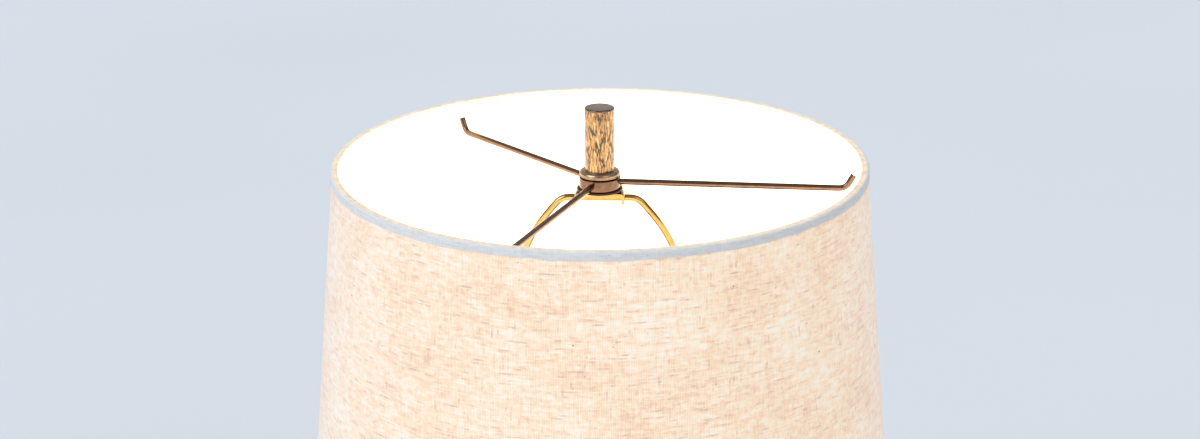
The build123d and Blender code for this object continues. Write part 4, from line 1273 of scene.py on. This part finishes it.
# FINIAL. A turned flange tapped for the stud, a sleeve in the spiral's leafed finish standing on
# it, and a blackened disc that closes the top, over a thin washer on the hub.
FLANGE_RIM = 0.6 * MM
FLANGE_GROOVE = 0.5 * MM
FLANGE_HEIGHT = 4.1 * MM
STUD_HOLE = 3.26 * MM
SLEEVE_WALL = 1.2 * MM
SLEEVE_RELIEF = 0.12 * MM
FINIAL_BARK_WIDTH = 0.75 * MM
FINIAL_BARK_LENGTH = 5.0 * MM
FINIAL_BARK_TONES = ("2a1c14", "dccfb6", "563e2b", "8c7256", "a58c6c", "b78f48")

low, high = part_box("finial_washer")
washer = turned(rounded([
    (STUD_HOLE, low.z, 0),
    (high.x, low.z, 0.25 * MM),
    (high.x, high.z, 0.25 * MM),
    (STUD_HOLE, high.z, 0),
]), 72)
piece("finial_washer_stamping", washer, dark_lacquer, "finial", "dark_bronze", "finial_washer")

low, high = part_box("finial_flange")
sleeve_low, sleeve_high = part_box("finial_sleeve")
sleeve_r = sleeve_high.x
plug_r = sleeve_r - SLEEVE_WALL
flange_r = high.x
# Painted light: the flange takes a paler, rougher copy of the blackened bronze, so its dome, which mirrors
# the dim room, still comes out light.
lightened_bronze = blackened("lightened_bronze", "948069", "ad987f", 0.2, 0.34)
groove_top = low.z + FLANGE_RIM + FLANGE_GROOVE
dome = [
    (flange_r, low.z + FLANGE_RIM),
    (flange_r - FLANGE_GROOVE, low.z + FLANGE_RIM),
    (flange_r - FLANGE_GROOVE, groove_top),
]
for i in range(13):
    swing = math.pi / 2 * i / 12
    reach = flange_r - sleeve_r - 0.4 * MM
    dome.append((
        sleeve_r + 0.3 * MM + reach * math.cos(swing) ** 0.9,
        groove_top + (low.z + FLANGE_HEIGHT - groove_top) * math.sin(swing),
    ))
flange_profile = [(STUD_HOLE, low.z), (flange_r - 0.25 * MM, low.z), (flange_r, low.z + 0.25 * MM)]
flange_profile += dome + [(plug_r, sleeve_low.z), (plug_r, high.z), (STUD_HOLE, high.z)]
flange = turned(flange_profile, 120)
piece("finial_flange_turning", flange, lightened_bronze, "finial", "dark_bronze", "finial_flange")


def leaf_relief(angle, height, radius):
    """Low ridges left by the thick lacquer under the leaf."""
    if radius < sleeve_r - SLEEVE_WALL / 2:
        return 0.0
    wave = math.sin(17 * angle + 3 * math.sin(height / (5 * MM)))
    wave += math.sin(31 * angle - 2 * math.sin(height / (3 * MM) + 1))
    return -SLEEVE_RELIEF * (1 - wave / 2) / 2


levels = [sleeve_low.z + (sleeve_high.z - sleeve_low.z) * i / 60 for i in range(61)]
wall = [(sleeve_r, level) for level in levels] + [(plug_r, level) for level in levels[::-1]]
leafed_small = bark("gold_leaf_on_brass", FINIAL_BARK_WIDTH, FINIAL_BARK_LENGTH, FINIAL_BARK_TONES)
sleeve = turned(wall, 160, leaf_relief)
piece("finial_sleeve_tube", sleeve, leafed_small, "finial", "gold_leafed_steel", "finial_sleeve")

low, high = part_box("finial_cap")
cap = turned(rounded([
    (0, low.z, 0),
    (plug_r, low.z, 0.3 * MM),
    (plug_r, sleeve_high.z, 0),
    (high.x, sleeve_high.z, 0.2 * MM),
    (high.x, high.z, 1.3 * MM),
    (0, high.z, 0),
]), 96)
piece("finial_disc", cap, dark_bronze, "finial", "dark_bronze", "finial_cap")
